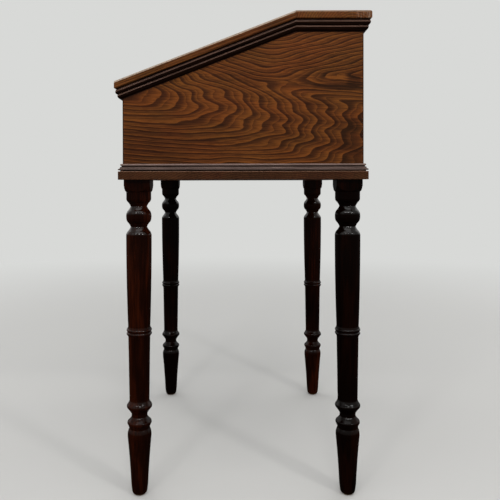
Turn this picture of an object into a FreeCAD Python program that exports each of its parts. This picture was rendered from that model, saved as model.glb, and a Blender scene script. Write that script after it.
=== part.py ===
import FreeCAD, Part
import math
import os

# Clerk's standing desk in oak: a sloped-lid writing box, finished on all four sides, on four
# turned legs.  Millimetres.  Origin on the floor under the middle of the desk, +Z up, the
# clerk's side towards -Y, width along X.

Vector = FreeCAD.Vector

# ---- Carcase --------------------------------------------------------------------------------
BOX_WIDTH = 760.0
BOX_DEPTH = 578.0
BOX_BACK_HEIGHT = 362.0
BOARD_THICKNESS = 18.0
REBATE_LIP = 6.0
ARRIS_ROUND = 1.2
BASE_BOARD_THICKNESS = 20.0
BASE_BOARD_OVERHANG = 10.0

# ---- Fixed top and lid ----------------------------------------------------------------------
TOP_THICKNESS = 19.0
TOP_OVERHANG = 17.0
FLAT_TOP_DEPTH = 180.0
SLOPE_ANGLE = 21.1
NOSE_ROUND = 5.5
NOSE_UNDER_ROUND = 2.0
LID_GAP = 0.3
RIDGE_GAP = 0.5
CLAMP_WIDTH = 58.0
TONGUE_LENGTH = 10.0
TONGUE_THICKNESS = 6.0
TONGUE_CLEARANCE = 0.2
TONGUE_STOP = 30.0

# ---- Cornice under the top ------------------------------------------------------------------
CORNICE_HEIGHT = 29.0
CORNICE_PROJECTION = 14.2
CORNICE_GROOVE_HEIGHT = 3.5
CORNICE_GROOVE_DEPTH = 2.6
UPPER_BEAD_HEIGHT = 11.4
LOWER_BEAD_PROJECTION = 10.0
BEAD_NOSE_ROUND = 3.2
BEAD_QUIRK = 0.9
BEAD_FULLNESS = 0.16
CORNICE_FOOT_PROJECTION = 1.5
CORNICE_FOOT_HEIGHT = 1.4

# ---- Moulding on the base board -------------------------------------------------------------
BASE_MOULDING_HEIGHT = 18.0
BASE_MOULDING_PROJECTION = 9.4
BASE_MOULDING_GROOVE = 1.8
BASE_MOULDING_NOSE_HEIGHT = 2.8
BASE_MOULDING_NOSE_FULLNESS = 0.8
ASTRAGAL_HEIGHT = 4.8
ASTRAGAL_PROJECTION = 5.0
COVE_TOP_PROJECTION = 5.4
COVE_HOLLOW = 1.4

# ---- Turned legs ----------------------------------------------------------------------------
LEG_LENGTH = 772.0
LEG_BLOCK = 63.0
LEG_INSET = 1.5
BLOCK_HEIGHT = 30.0
POMMEL_HEIGHT = 19.0
POMMEL_FULLNESS = 1.5
POMMEL_MARGIN = 0.5
DRUM_HEIGHT = 23.8
DRUM_RADIUS = 30.2
DRUM_EDGE_HEIGHT = 7.4
DRUM_EDGE_FULLNESS = 0.8
CONE_HEIGHT = 11.0
CONE_RADIUS = 27.0
CONE_HOLLOW = 0.7
NECK_RADIUS = 19.9
BALL_HEIGHT = 27.8
BALL_RADIUS = 30.0
BALL_FULLNESS = 0.7
BALL_EDGE_HEIGHT = 6.5
BALL_EDGE_FULLNESS = 0.45
SHOULDER_HEIGHT = 11.0
SHOULDER_FULLNESS = 1.0
COLUMN_TOP_RADIUS = 30.9
COLUMN_FULLNESS = 1.0
RING_CENTRE_HEIGHT = 400.0
RING_NECK_RADIUS = 27.0
RING_EDGE_HEIGHT = 3.6
BEAD_PITCH = 8.6
BEAD_RADIUS = 30.8
BEAD_VALLEY_RADIUS = 28.6
BEAD_HALF_HEIGHT = 3.5
LOWER_COLUMN_TOP_RADIUS = 26.6
LOWER_COLUMN_FOOT_RADIUS = 24.2
UPPER_COLLAR_SLOPE = 10.0
UPPER_COLLAR_RIM = 8.0
UPPER_COLLAR_UNDERSIDE = 14.5
UPPER_COLLAR_RADIUS = 30.8
WAIST_HEIGHT = 7.5
WAIST_RADIUS = 19.4
LOWER_COLLAR_SLOPE = 10.5
LOWER_COLLAR_RIM = 8.0
LOWER_COLLAR_UNDERSIDE = 10.0
LOWER_COLLAR_RADIUS = 29.6
COLLAR_EDGE_DROP = 1.2
COLLAR_RIM_FULLNESS = 0.35
COLLAR_HOLLOW = 0.55
ANKLE_RADIUS = 25.0
FOOT_LENGTH = 163.0
FOOT_SHOULDER_HEIGHT = 10.0
FOOT_BARREL_HEIGHT = 13.5
FOOT_RADIUS = 28.6
FOOT_FULLNESS = 0.4
FOOT_HOLLOW = 0.7
TOE_TAPER_HEIGHT = 15.0
TOE_ROUND_HEIGHT = 9.0
TOE_RADIUS = 20.4
TOE_WAIST_RADIUS = 18.4
TOE_END_RADIUS = 11.0
TOE_FULLNESS = 1.5

# ---- Leg joints inside the box --------------------------------------------------------------
SPIGOT_RADIUS = 12.5
SPIGOT_CLEARANCE = 0.05
CORNER_BLOCK_SIDE = 46.0
CORNER_BLOCK_HEIGHT = 30.0
CORNER_BLOCK_CHAMFER = 16.0
WEDGE_THICKNESS = 2.4
WEDGE_DEPTH = 20.0
WEDGE_CLEARANCE = 0.05

# ---- Glue blocks under the fixed top --------------------------------------------------------
GLUE_BLOCK_SIDE = 18.0
GLUE_BLOCK_LENGTH = 60.0
GLUE_BLOCK_END_INSET = 102.0
BACK_GLUE_BLOCK_COUNT = 4

# ---- Butt hinges ----------------------------------------------------------------------------
HINGE_INSET = 157.0
HINGE_LENGTH = 64.0
LEAF_THICKNESS = 1.8
LEAF_REACH = 15.0
KNUCKLE_RADIUS = 3.2
KNUCKLE_COUNT = 5
KNUCKLE_GAP = 0.3
KNUCKLE_CLEARANCE = 0.4
PIN_RADIUS = 1.5
PIN_CLEARANCE = 0.05
RECESS_CLEARANCE = 0.1
HINGE_SCREW_PITCH = 22.0
HINGE_SCREW_LENGTH = 15.0

# ---- Screws ---------------------------------------------------------------------------------
SCREW_HEAD_RADIUS = 3.2
SCREW_SHANK_RADIUS = 1.6
SCREW_CLEARANCE = 0.05
SCREW_SLOT_WIDTH = 0.8
SCREW_SLOT_DEPTH = 0.8
SCREW_POINT_SHARE = 0.3
BASE_SCREW_LENGTH = 45.0
BASE_SCREW_HEAD_RADIUS = 4.2
BASE_SCREW_SHANK_RADIUS = 2.2
BASE_SCREW_SIDE_INSET = 150.0
BASE_SCREW_DEPTH_INSET = 179.0

# ---- Lock -----------------------------------------------------------------------------------
LOCK_WIDTH = 64.0
LOCK_DEPTH = 15.0
LOCK_WALL = 1.2
LOCK_DROP = 70.0
LOCK_EAR = 9.0
SELVEDGE_THICKNESS = 2.2
BACKPLATE_THICKNESS = 1.5
LOCK_CLEARANCE = 0.15
LOCK_SCREW_LENGTH = 12.0
KEY_DROP = 50.0
KEYHOLE_RADIUS = 2.0
KEYHOLE_SLOT_WIDTH = 2.4
KEYHOLE_SLOT_LENGTH = 8.0
LINK_PLATE_LENGTH = 62.0
LINK_PLATE_WIDTH = 16.0
LINK_PLATE_THICKNESS = 1.8
LINK_SCREW_OFFSET = 24.0
LINK_SCREW_LENGTH = 12.0
STAPLE_OFFSET = 14.0
STAPLE_THICKNESS = 3.0
STAPLE_SIDE = 1.2
STAPLE_CLEARANCE = 1.0
BOLT_THICKNESS = 1.6
BOLT_FINGER_HEIGHT = 3.0
BOLT_FINGER_CLEARANCE = 0.5
BOLT_POST_WIDTH = 4.0
BOLT_THROW = 7.0
BOLT_CLEARANCE = 0.1
TALON_WIDTH = 5.0
TALON_DEPTH = 3.0
STUMP_RADIUS = 1.5
ESCUTCHEON_HEIGHT = 30.0
ESCUTCHEON_WIDTH = 18.0
ESCUTCHEON_THICKNESS = 1.2
ESCUTCHEON_PIN_OFFSET = 12.5
ESCUTCHEON_PIN_RADIUS = 0.8
ESCUTCHEON_PIN_LENGTH = 3.5
ESCUTCHEON_PIN_HEAD = 0.8

# ---- Places worked out from the sizes above -------------------------------------------------
half_width = BOX_WIDTH / 2
half_depth = BOX_DEPTH / 2
inner_half_width = half_width - BOARD_THICKNESS
inner_half_depth = half_depth - BOARD_THICKNESS
base_top = LEG_LENGTH + BASE_BOARD_THICKNESS
seat_height = base_top + BOX_BACK_HEIGHT
top_height = seat_height + TOP_THICKNESS
top_half_width = half_width + TOP_OVERHANG
top_half_depth = half_depth + TOP_OVERHANG
ridge_y = top_half_depth - FLAT_TOP_DEPTH
fall = math.tan(math.radians(SLOPE_ANGLE))
slope_sin = math.sin(math.radians(SLOPE_ANGLE))
slope_cos = math.cos(math.radians(SLOPE_ANGLE))
lid_back_y = ridge_y - RIDGE_GAP
pivot_y = ridge_y - RIDGE_GAP / 2
pivot_z = top_height
leg_x = half_width - LEG_INSET - LEG_BLOCK / 2
leg_y = half_depth - LEG_INSET - LEG_BLOCK / 2
hinge_x = top_half_width - HINGE_INSET
moulding_reach = CORNICE_PROJECTION + BASE_MOULDING_PROJECTION
ABOVE = 2.0


def seat_z(y):
    """Height of the rim that the lid and the fixed top lie on, at depth y."""
    return seat_height - max(0.0, ridge_y - y) * fall


def block(x_low, x_high, y_low, y_high, z_low, z_high):
    """Rectangular block between two corners."""
    corner = Vector(x_low, y_low, z_low)
    return Part.makeBox(x_high - x_low, y_high - y_low, z_high - z_low, corner)


def across(points, x_low, x_high):
    """Prism along X with the (y, z) outline given."""
    wire = Part.makePolygon([Vector(x_low, y, z) for y, z in points + points[:1]])
    return Part.Face(wire).extrude(Vector(x_high - x_low, 0, 0))


def upright(points, z_low, z_high):
    """Prism along Z with the (x, y) outline given."""
    wire = Part.makePolygon([Vector(x, y, z_low) for x, y in points + points[:1]])
    return Part.Face(wire).extrude(Vector(0, 0, z_high - z_low))


def join(shapes):
    """One solid from touching or overlapping ones."""
    shapes = list(shapes)
    return shapes[0].fuse(shapes[1:]).removeSplitter()


def cut_all(shape, tools):
    """The shape with every tool taken away."""
    for tool in tools:
        shape = shape.cut(tool)
    return shape


def mirrored(shape, normal):
    """The shape's mirror image in the plane through the origin with this normal."""
    return shape.mirror(Vector(0, 0, 0), normal)


def left_of(shape):
    """The left-hand twin of a right-hand piece."""
    return mirrored(shape, Vector(1, 0, 0))


def soften(shape, radius, wanted):
    """Round the edges whose middle point passes the test."""
    edges = [edge for edge in shape.Edges if wanted(edge.CenterOfMass)]
    return shape.makeFillet(radius, edges)


def near(a, b):
    """Whether two places are the same within modelling tolerance."""
    return abs(a - b) < 0.01


# ---- Outlines made of straight and curved steps ---------------------------------------------
def line_to(u, v):
    """A straight step to (u, v)."""
    return None, (u, v)


def arc_to(via, end):
    """A step on a circular arc through via to end."""
    return via, end


def swollen(start, end, swell):
    """A step from start to end, bowed by swell to the left of its direction."""
    du = end[0] - start[0]
    dv = end[1] - start[1]
    length = math.hypot(du, dv)
    via = ((start[0] + end[0]) / 2 - dv / length * swell,
           (start[1] + end[1]) / 2 + du / length * swell)
    return via, end


def outline_face(start, steps, place):
    """Face inside a closed outline; place turns (u, v) into a point in space."""
    edges = []
    here = start
    for via, end in steps + [line_to(*start)]:
        if via is None:
            edges.append(Part.LineSegment(place(*here), place(*end)).toShape())
        else:
            edges.append(Part.Arc(place(*here), place(*via), place(*end)).toShape())
        here = end
    return Part.Face(Part.Wire(edges))


class Turning:
    """Half outline of a turned piece, drawn from the top down."""

    def __init__(self, radius, height):
        self.start = (0.0, height)
        self.steps = [line_to(radius, height)]
        self.height = height
        self.radius = radius

    def down(self, drop, radius, swell=0.0):
        """Go down by drop to a new radius, bowed out (+) or hollowed (-) by swell."""
        end = (radius, self.height - drop)
        if swell:
            self.steps.append(swollen((self.radius, self.height), end, swell))
        else:
            self.steps.append(line_to(*end))
        self.radius, self.height = end

    def step(self, radius):
        """Go straight in or out to a new radius."""
        self.steps.append(line_to(radius, self.height))
        self.radius = radius

    def solid(self):
        """The turned solid, about the Z axis."""
        steps = self.steps + [line_to(0.0, self.height)]
        face = outline_face(self.start, steps, lambda u, v: Vector(u, 0, v))
        return face.revolve(Vector(0, 0, 0), Vector(0, 0, 1), 360)


# ---- Screws and pins ------------------------------------------------------------------------
def screw(head_radius, shank_radius, length, slotted=True):
    """Countersunk wood screw, head face at the origin, pointing down."""
    outline = Turning(head_radius, 0.0)
    outline.down(head_radius - shank_radius, shank_radius)
    outline.down(length - head_radius - shank_radius, shank_radius)
    outline.down(2 * shank_radius, shank_radius * SCREW_POINT_SHARE)
    body = outline.solid()
    if slotted:
        half = SCREW_SLOT_WIDTH / 2
        body = body.cut(block(-head_radius - ABOVE, head_radius + ABOVE, -half, half,
                              -SCREW_SLOT_DEPTH, ABOVE))
    return body


def screw_hole(head_radius, shank_radius, length):
    """The hole that a screw fills, a clearance larger all round."""
    grow = SCREW_CLEARANCE
    hole = screw(head_radius + grow, shank_radius + grow, length + grow, slotted=False)
    return join([hole, Part.makeCylinder(head_radius + grow, ABOVE)])


def set_at(shape, point, direction):
    """Turn a shape that points down so that it points along direction, and move it."""
    placed = shape.copy()
    turn = FreeCAD.Rotation(Vector(0, 0, -1), direction)
    placed.Placement = FreeCAD.Placement(point, turn)
    return placed


# ---- Mouldings ------------------------------------------------------------------------------
def mitred_plan(side):
    """Plan of one side's mouldings, mitred at the box's corners."""
    wide = half_width + moulding_reach
    deep = half_depth + moulding_reach
    if side == "front":
        return [(-half_width, -half_depth), (half_width, -half_depth), (wide, -deep), (-wide, -deep)]
    if side == "back":
        return [(-half_width, half_depth), (half_width, half_depth), (wide, deep), (-wide, deep)]
    return [(half_width, -half_depth), (half_width, half_depth), (wide, deep), (wide, -deep)]


def mitred(strip, side):
    """A moulding strip cut to its mitres."""
    return strip.common(upright(mitred_plan(side), 0.0, top_height))


def bead_steps(nose, foot, top, bottom):
    """Quarter-round nose, then a full curve in to the foot; v counts downwards."""
    corner = BEAD_NOSE_ROUND * (1 - math.sqrt(0.5))
    widest = (nose, top + BEAD_NOSE_ROUND)
    return [line_to(nose - BEAD_NOSE_ROUND, top),
            arc_to((nose - corner, top + corner), widest),
            swollen(widest, (foot, bottom), -BEAD_FULLNESS * (bottom - top))]


def cornice_steps():
    """Groove under the top, then two beads, the lower one set back."""
    groove = CORNICE_PROJECTION - CORNICE_GROOVE_DEPTH
    lower_top = CORNICE_GROOVE_HEIGHT + UPPER_BEAD_HEIGHT
    lower_bottom = CORNICE_HEIGHT - CORNICE_FOOT_HEIGHT
    quirk = LOWER_BEAD_PROJECTION - BEAD_QUIRK
    steps = [line_to(groove, 0.0), line_to(groove, CORNICE_GROOVE_HEIGHT)]
    steps += bead_steps(CORNICE_PROJECTION, quirk, CORNICE_GROOVE_HEIGHT, lower_top)
    steps += bead_steps(LOWER_BEAD_PROJECTION, CORNICE_FOOT_PROJECTION + BEAD_QUIRK,
                        lower_top, lower_bottom)
    steps += [line_to(CORNICE_FOOT_PROJECTION, lower_bottom),
              line_to(CORNICE_FOOT_PROJECTION, CORNICE_HEIGHT),
              line_to(0.0, CORNICE_HEIGHT)]
    return steps


def cornice_front():
    """Front cornice: its section leans with the slope, so that it mitres with the ends."""
    wide = half_width + moulding_reach
    front_seat = seat_z(-half_depth)
    face = outline_face((0.0, 0.0), cornice_steps(),
                        lambda u, v: Vector(-wide, -half_depth - u, front_seat - u * fall - v))
    return mitred(face.extrude(Vector(2 * wide, 0, 0)), "front")


def cornice_back():
    """Back cornice, level."""
    wide = half_width + moulding_reach
    face = outline_face((0.0, 0.0), cornice_steps(),
                        lambda u, v: Vector(-wide, half_depth + u, seat_height - v))
    return mitred(face.extrude(Vector(2 * wide, 0, 0)), "back")


def cornice_end(run):
    """Right-hand cornice from the ridge, run back (+) level or forward (-) down the slope."""
    face = outline_face((0.0, 0.0), cornice_steps(),
                        lambda u, v: Vector(half_width + u, ridge_y, seat_height - v))
    drop = min(0.0, run) * fall
    return mitred(face.extrude(Vector(0, run, drop)), "right")


def base_moulding_steps():
    """Fillet and nose, a cove, and an astragal on top; v counts upwards."""
    nose = BASE_MOULDING_PROJECTION
    nose_low = (nose - BASE_MOULDING_GROOVE, BASE_MOULDING_GROOVE)
    nose_high = (nose, BASE_MOULDING_GROOVE + BASE_MOULDING_NOSE_HEIGHT)
    astragal_foot = BASE_MOULDING_HEIGHT - ASTRAGAL_HEIGHT
    cove_top = (COVE_TOP_PROJECTION, astragal_foot - BASE_MOULDING_GROOVE)
    bead_back = ASTRAGAL_PROJECTION - ASTRAGAL_HEIGHT / 2
    bead_low = (bead_back, astragal_foot)
    bead_high = (bead_back, BASE_MOULDING_HEIGHT)
    bead_tip = (ASTRAGAL_PROJECTION, astragal_foot + ASTRAGAL_HEIGHT / 2)
    return [line_to(nose_low[0], 0.0), line_to(*nose_low),
            swollen(nose_low, nose_high, -BASE_MOULDING_NOSE_FULLNESS),
            swollen(nose_high, cove_top, COVE_HOLLOW),
            line_to(bead_back, cove_top[1]), line_to(*bead_low),
            arc_to(bead_tip, bead_high), line_to(0.0, BASE_MOULDING_HEIGHT)]


def base_moulding(side):
    """One length of the moulding planted round the foot of the box."""
    long = max(half_width, half_depth) + moulding_reach
    if side == "right":
        face = outline_face((0.0, 0.0), base_moulding_steps(),
                            lambda u, v: Vector(half_width + u, -long, base_top + v))
        return mitred(face.extrude(Vector(0, 2 * long, 0)), side)
    sign = -1 if side == "front" else 1
    face = outline_face((0.0, 0.0), base_moulding_steps(),
                        lambda u, v: Vector(-long, sign * (half_depth + u), base_top + v))
    return mitred(face.extrude(Vector(2 * long, 0, 0)), side)


# ---- Legs -----------------------------------------------------------------------------------
def cone_pair(outline):
    """A sharp neck between two hollow cones."""
    outline.down(CONE_HEIGHT, NECK_RADIUS, -CONE_HOLLOW)
    outline.down(CONE_HEIGHT, CONE_RADIUS, -CONE_HOLLOW)


def ball(outline):
    """A flattened ball, rounded in to the cones above and below."""
    outline.down(BALL_EDGE_HEIGHT, BALL_RADIUS, BALL_EDGE_FULLNESS)
    outline.down(BALL_HEIGHT - 2 * BALL_EDGE_HEIGHT, BALL_RADIUS, BALL_FULLNESS)
    outline.down(BALL_EDGE_HEIGHT, CONE_RADIUS, BALL_EDGE_FULLNESS)


def collar(outline, slope, rim, underside, radius, next_radius):
    """A turned collar: slope out, rounded rim, slope in."""
    outline.down(slope, radius - COLLAR_EDGE_DROP, -COLLAR_HOLLOW)
    outline.down(rim / 2, radius, COLLAR_RIM_FULLNESS)
    outline.down(rim / 2, radius - COLLAR_EDGE_DROP, COLLAR_RIM_FULLNESS)
    outline.down(underside, next_radius, -COLLAR_HOLLOW)


def bead_ring(outline):
    """Two beads round the middle of the leg, eased into the column above and below."""
    outline.down(RING_EDGE_HEIGHT, BEAD_VALLEY_RADIUS)
    for _ in range(2):
        outline.down(BEAD_PITCH / 2 - BEAD_HALF_HEIGHT, BEAD_VALLEY_RADIUS)
        outline.down(2 * BEAD_HALF_HEIGHT, BEAD_VALLEY_RADIUS, BEAD_RADIUS - BEAD_VALLEY_RADIUS)
        outline.down(BEAD_PITCH / 2 - BEAD_HALF_HEIGHT, BEAD_VALLEY_RADIUS)
    outline.down(RING_EDGE_HEIGHT, LOWER_COLUMN_TOP_RADIUS)


def foot(outline):
    """Swelling foot that tapers to a rounded toe."""
    outline.down(FOOT_SHOULDER_HEIGHT, FOOT_RADIUS, FOOT_FULLNESS)
    outline.down(FOOT_BARREL_HEIGHT, FOOT_RADIUS, FOOT_FULLNESS)
    outline.down(outline.height - TOE_TAPER_HEIGHT - TOE_ROUND_HEIGHT, TOE_RADIUS, -FOOT_HOLLOW)
    outline.down(TOE_TAPER_HEIGHT, TOE_WAIST_RADIUS)
    outline.down(TOE_ROUND_HEIGHT, TOE_END_RADIUS, TOE_FULLNESS)


def leg_turning():
    """Everything below the square block."""
    outline = Turning(DRUM_RADIUS, LEG_LENGTH - BLOCK_HEIGHT)
    outline.down(DRUM_HEIGHT - DRUM_EDGE_HEIGHT, DRUM_RADIUS)
    outline.down(DRUM_EDGE_HEIGHT, CONE_RADIUS, DRUM_EDGE_FULLNESS)
    cone_pair(outline)
    ball(outline)
    cone_pair(outline)
    outline.down(SHOULDER_HEIGHT, COLUMN_TOP_RADIUS, SHOULDER_FULLNESS)
    ring_top = RING_CENTRE_HEIGHT + BEAD_PITCH + RING_EDGE_HEIGHT
    outline.down(outline.height - ring_top, RING_NECK_RADIUS, COLUMN_FULLNESS)
    bead_ring(outline)
    lower_collar = LOWER_COLLAR_SLOPE + LOWER_COLLAR_RIM + LOWER_COLLAR_UNDERSIDE
    upper_collar = UPPER_COLLAR_SLOPE + UPPER_COLLAR_RIM + UPPER_COLLAR_UNDERSIDE
    collars_top = FOOT_LENGTH + lower_collar + WAIST_HEIGHT + upper_collar
    outline.down(outline.height - collars_top, LOWER_COLUMN_FOOT_RADIUS)
    collar(outline, UPPER_COLLAR_SLOPE, UPPER_COLLAR_RIM, UPPER_COLLAR_UNDERSIDE,
           UPPER_COLLAR_RADIUS, WAIST_RADIUS)
    outline.down(WAIST_HEIGHT, WAIST_RADIUS)
    collar(outline, LOWER_COLLAR_SLOPE, LOWER_COLLAR_RIM, LOWER_COLLAR_UNDERSIDE,
           LOWER_COLLAR_RADIUS, ANKLE_RADIUS)
    foot(outline)
    return outline.solid()


def leg_block():
    """Square block at the head, its lower corners turned away."""
    half = LEG_BLOCK / 2
    corner = half * math.sqrt(2) + POMMEL_MARGIN
    low = LEG_LENGTH - BLOCK_HEIGHT
    pommel = Turning(corner, LEG_LENGTH)
    pommel.down(BLOCK_HEIGHT - POMMEL_HEIGHT, corner)
    pommel.down(POMMEL_HEIGHT, DRUM_RADIUS, POMMEL_FULLNESS)
    return block(-half, half, -half, half, low, LEG_LENGTH).common(pommel.solid())


def leg():
    """Leg about its own axis, with the spigot and saw kerf at its head."""
    spigot_length = BASE_BOARD_THICKNESS + CORNER_BLOCK_HEIGHT
    spigot = Part.makeCylinder(SPIGOT_RADIUS, spigot_length, Vector(0, 0, LEG_LENGTH))
    half = WEDGE_THICKNESS / 2 + WEDGE_CLEARANCE
    head = LEG_LENGTH + spigot_length
    kerf = block(-half, half, -LEG_BLOCK, LEG_BLOCK, head - WEDGE_DEPTH, head + ABOVE)
    return join([leg_turning(), leg_block(), spigot.cut(kerf)])


def leg_wedge():
    """Hardwood wedge in the spigot's kerf."""
    half = WEDGE_THICKNESS / 2
    head = LEG_LENGTH + BASE_BOARD_THICKNESS + CORNER_BLOCK_HEIGHT
    slip = block(-half, half, -SPIGOT_RADIUS, SPIGOT_RADIUS, head - WEDGE_DEPTH, head)
    return slip.common(Part.makeCylinder(SPIGOT_RADIUS, WEDGE_DEPTH,
                                         Vector(0, 0, head - WEDGE_DEPTH)))


def at_leg(shape, x_side, y_side):
    """A shape about a leg's axis, moved to one corner of the desk."""
    moved = shape.copy()
    moved.translate(Vector(x_side * leg_x, y_side * leg_y, 0))
    return moved


def spigot_holes():
    """Holes that the four spigots pass through."""
    height = BASE_BOARD_THICKNESS + CORNER_BLOCK_HEIGHT + 2 * ABOVE
    hole = Part.makeCylinder(SPIGOT_RADIUS + SPIGOT_CLEARANCE, height,
                             Vector(0, 0, LEG_LENGTH - ABOVE))
    return [at_leg(hole, x_side, y_side) for x_side in (-1, 1) for y_side in (-1, 1)]


def corner_block(x_side, y_side):
    """Block glued in the box's bottom corner round the leg's spigot."""
    x_in = inner_half_width - CORNER_BLOCK_SIDE
    y_in = inner_half_depth - CORNER_BLOCK_SIDE
    plan = [(inner_half_width, inner_half_depth), (x_in, inner_half_depth),
            (x_in, y_in + CORNER_BLOCK_CHAMFER), (x_in + CORNER_BLOCK_CHAMFER, y_in),
            (inner_half_width, y_in)]
    plan = [(x_side * x, y_side * y) for x, y in plan]
    solid = upright(plan, base_top, base_top + CORNER_BLOCK_HEIGHT)
    return cut_all(solid, spigot_holes())


# ---- Box ------------------------------------------------------------------------------------
def base_screw_points():
    """Where the screws come up through the base board into the box."""
    wall = BOARD_THICKNESS / 2
    front_back = [(step * (half_width - BASE_SCREW_SIDE_INSET), side * (half_depth - wall))
                  for step in (-1, 0, 1) for side in (-1, 1)]
    ends = [(side * (half_width - wall), step * (half_depth - BASE_SCREW_DEPTH_INSET))
            for step in (-1, 1) for side in (-1, 1)]
    return [Vector(x, y, LEG_LENGTH) for x, y in front_back + ends]


def base_screws():
    """Screws from below, through the base board into the edges of the box."""
    one = screw(BASE_SCREW_HEAD_RADIUS, BASE_SCREW_SHANK_RADIUS, BASE_SCREW_LENGTH)
    return [set_at(one, point, Vector(0, 0, 1)) for point in base_screw_points()]


def base_screw_holes():
    """The holes for those screws."""
    hole = screw_hole(BASE_SCREW_HEAD_RADIUS, BASE_SCREW_SHANK_RADIUS, BASE_SCREW_LENGTH)
    return [set_at(hole, point, Vector(0, 0, 1)) for point in base_screw_points()]


def base_board():
    """Board that forms the box's floor and shows as a square edge all round."""
    wide = half_width + BASE_BOARD_OVERHANG
    deep = half_depth + BASE_BOARD_OVERHANG
    board = block(-wide, wide, -deep, deep, LEG_LENGTH, base_top)
    board = soften(board, ARRIS_ROUND, lambda p: near(abs(p.x), wide) or near(abs(p.y), deep))
    return cut_all(board, spigot_holes() + base_screw_holes())


def end_panel():
    """Right-hand end, rebated for the front and back boards."""
    outline = [(-half_depth, base_top), (half_depth, base_top), (half_depth, seat_height),
               (ridge_y, seat_height), (-half_depth, seat_z(-half_depth))]
    panel = across(outline, inner_half_width, half_width)
    panel = soften(panel, ARRIS_ROUND,
                   lambda p: near(p.x, half_width) and near(abs(p.y), half_depth))
    lip = half_width - REBATE_LIP
    rebates = [block(inner_half_width - ABOVE, lip, -half_depth - ABOVE, -inner_half_depth,
                     base_top - ABOVE, top_height),
               block(inner_half_width - ABOVE, lip, inner_half_depth, half_depth + ABOVE,
                     base_top - ABOVE, top_height)]
    return cut_all(panel, rebates + base_screw_holes())


def front_board():
    """Front, with its top edge planed to the slope and the lock let into it."""
    lip = half_width - REBATE_LIP
    outline = [(-half_depth, base_top), (-inner_half_depth, base_top),
               (-inner_half_depth, seat_z(-inner_half_depth)), (-half_depth, seat_z(-half_depth))]
    board = across(outline, -lip, lip)
    pins = [set_at(pin_hole(), point, Vector(0, 1, 0)) for point in escutcheon_pin_points()]
    lock_tools = [lock_body(LOCK_CLEARANCE), keyhole()] + lock_screw_holes()
    return cut_all(board, lock_tools + base_screw_holes() + pins)


def back_board():
    """Back, as tall as the flat part of the desk."""
    lip = half_width - REBATE_LIP
    board = block(-lip, lip, inner_half_depth, half_depth, base_top, seat_height)
    return cut_all(board, base_screw_holes())


def glue_blocks():
    """Rubbed blocks that hold the fixed top to the back and the ends."""
    side = GLUE_BLOCK_SIDE
    half = GLUE_BLOCK_LENGTH / 2
    corner = [(inner_half_depth, seat_height), (inner_half_depth - side, seat_height),
              (inner_half_depth, seat_height - side)]
    first = GLUE_BLOCK_END_INSET - inner_half_width
    pitch = -2 * first / (BACK_GLUE_BLOCK_COUNT - 1)
    places = [first + pitch * place for place in range(BACK_GLUE_BLOCK_COUNT)]
    blocks = [across(corner, x - half, x + half) for x in places]
    middle = (ridge_y + inner_half_depth - side) / 2
    end_face = Part.Face(Part.makePolygon([
        Vector(inner_half_width, middle - half, seat_height),
        Vector(inner_half_width - side, middle - half, seat_height),
        Vector(inner_half_width, middle - half, seat_height - side),
        Vector(inner_half_width, middle - half, seat_height)]))
    end_block = end_face.extrude(Vector(0, GLUE_BLOCK_LENGTH, 0))
    return blocks + [end_block, left_of(end_block)]


# ---- Fixed top and lid ----------------------------------------------------------------------
def top_board():
    """Level board along the back, nosed on its three free edges."""
    board = block(-top_half_width, top_half_width, ridge_y, top_half_depth, seat_height, top_height)

    def outer(point):
        return near(abs(point.x), top_half_width) or near(point.y, top_half_depth)

    board = soften(board, NOSE_ROUND, lambda p: outer(p) and near(p.z, top_height))
    board = soften(board, NOSE_UNDER_ROUND, lambda p: outer(p) and near(p.z, seat_height))
    return cut_all(board, hinge_recesses("fixed"))


def lid_slab(y_front, y_back, top_drop, bottom_drop, x_low, x_high):
    """Slab that follows the slope, between two depths below the lid's face."""
    def face_z(y):
        return top_height - (ridge_y - y) * fall

    outline = [(y_front, face_z(y_front) - top_drop), (y_back, face_z(y_back) - top_drop),
               (y_back, face_z(y_back) - bottom_drop), (y_front, face_z(y_front) - bottom_drop)]
    return across(outline, x_low, x_high)


def lid_blank():
    """The whole lid before it is divided into panel and clamps."""
    front = -top_half_depth
    thick = TOP_THICKNESS - LID_GAP
    slab = lid_slab(front, lid_back_y, 0.0, thick, -top_half_width, top_half_width)

    def outer(point):
        return near(abs(point.x), top_half_width) or near(point.y, front)

    def drop(point):
        return top_height - (ridge_y - point.y) * fall - point.z

    slab = soften(slab, NOSE_ROUND, lambda p: outer(p) and near(drop(p), 0.0))
    return soften(slab, NOSE_UNDER_ROUND, lambda p: outer(p) and near(drop(p), thick))


def tongue(x_low, x_high, grow):
    """Tongue on the panel's end, or with grow its groove in the clamp."""
    middle = (TOP_THICKNESS - LID_GAP) / 2
    half = TONGUE_THICKNESS / 2 + grow
    return lid_slab(TONGUE_STOP - top_half_depth - grow, lid_back_y - TONGUE_STOP + grow,
                    middle - half, middle + half, x_low, x_high)


def lid_panel():
    """Main boards of the lid, grain along the desk."""
    shoulder = top_half_width - CLAMP_WIDTH
    between = block(-shoulder, shoulder, -top_half_depth - ABOVE, ridge_y, LEG_LENGTH,
                    top_height + ABOVE)
    tongues = [tongue(shoulder, shoulder + TONGUE_LENGTH, 0.0)]
    tongues.append(left_of(tongues[0]))
    panel = join([lid_blank().common(between)] + tongues)
    tools = [link_recess()] + hinge_recesses("lid") + link_screw_holes()
    return cut_all(panel, tools)


def lid_clamp():
    """Right-hand clamp: a cross-grained end that keeps the lid flat."""
    shoulder = top_half_width - CLAMP_WIDTH
    beyond = block(shoulder, top_half_width + ABOVE, -top_half_depth - ABOVE, ridge_y, LEG_LENGTH,
                   top_height + ABOVE)
    groove = tongue(shoulder - ABOVE, shoulder + TONGUE_LENGTH + TONGUE_CLEARANCE,
                    TONGUE_CLEARANCE)
    return lid_blank().common(beyond).cut(groove)


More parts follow.
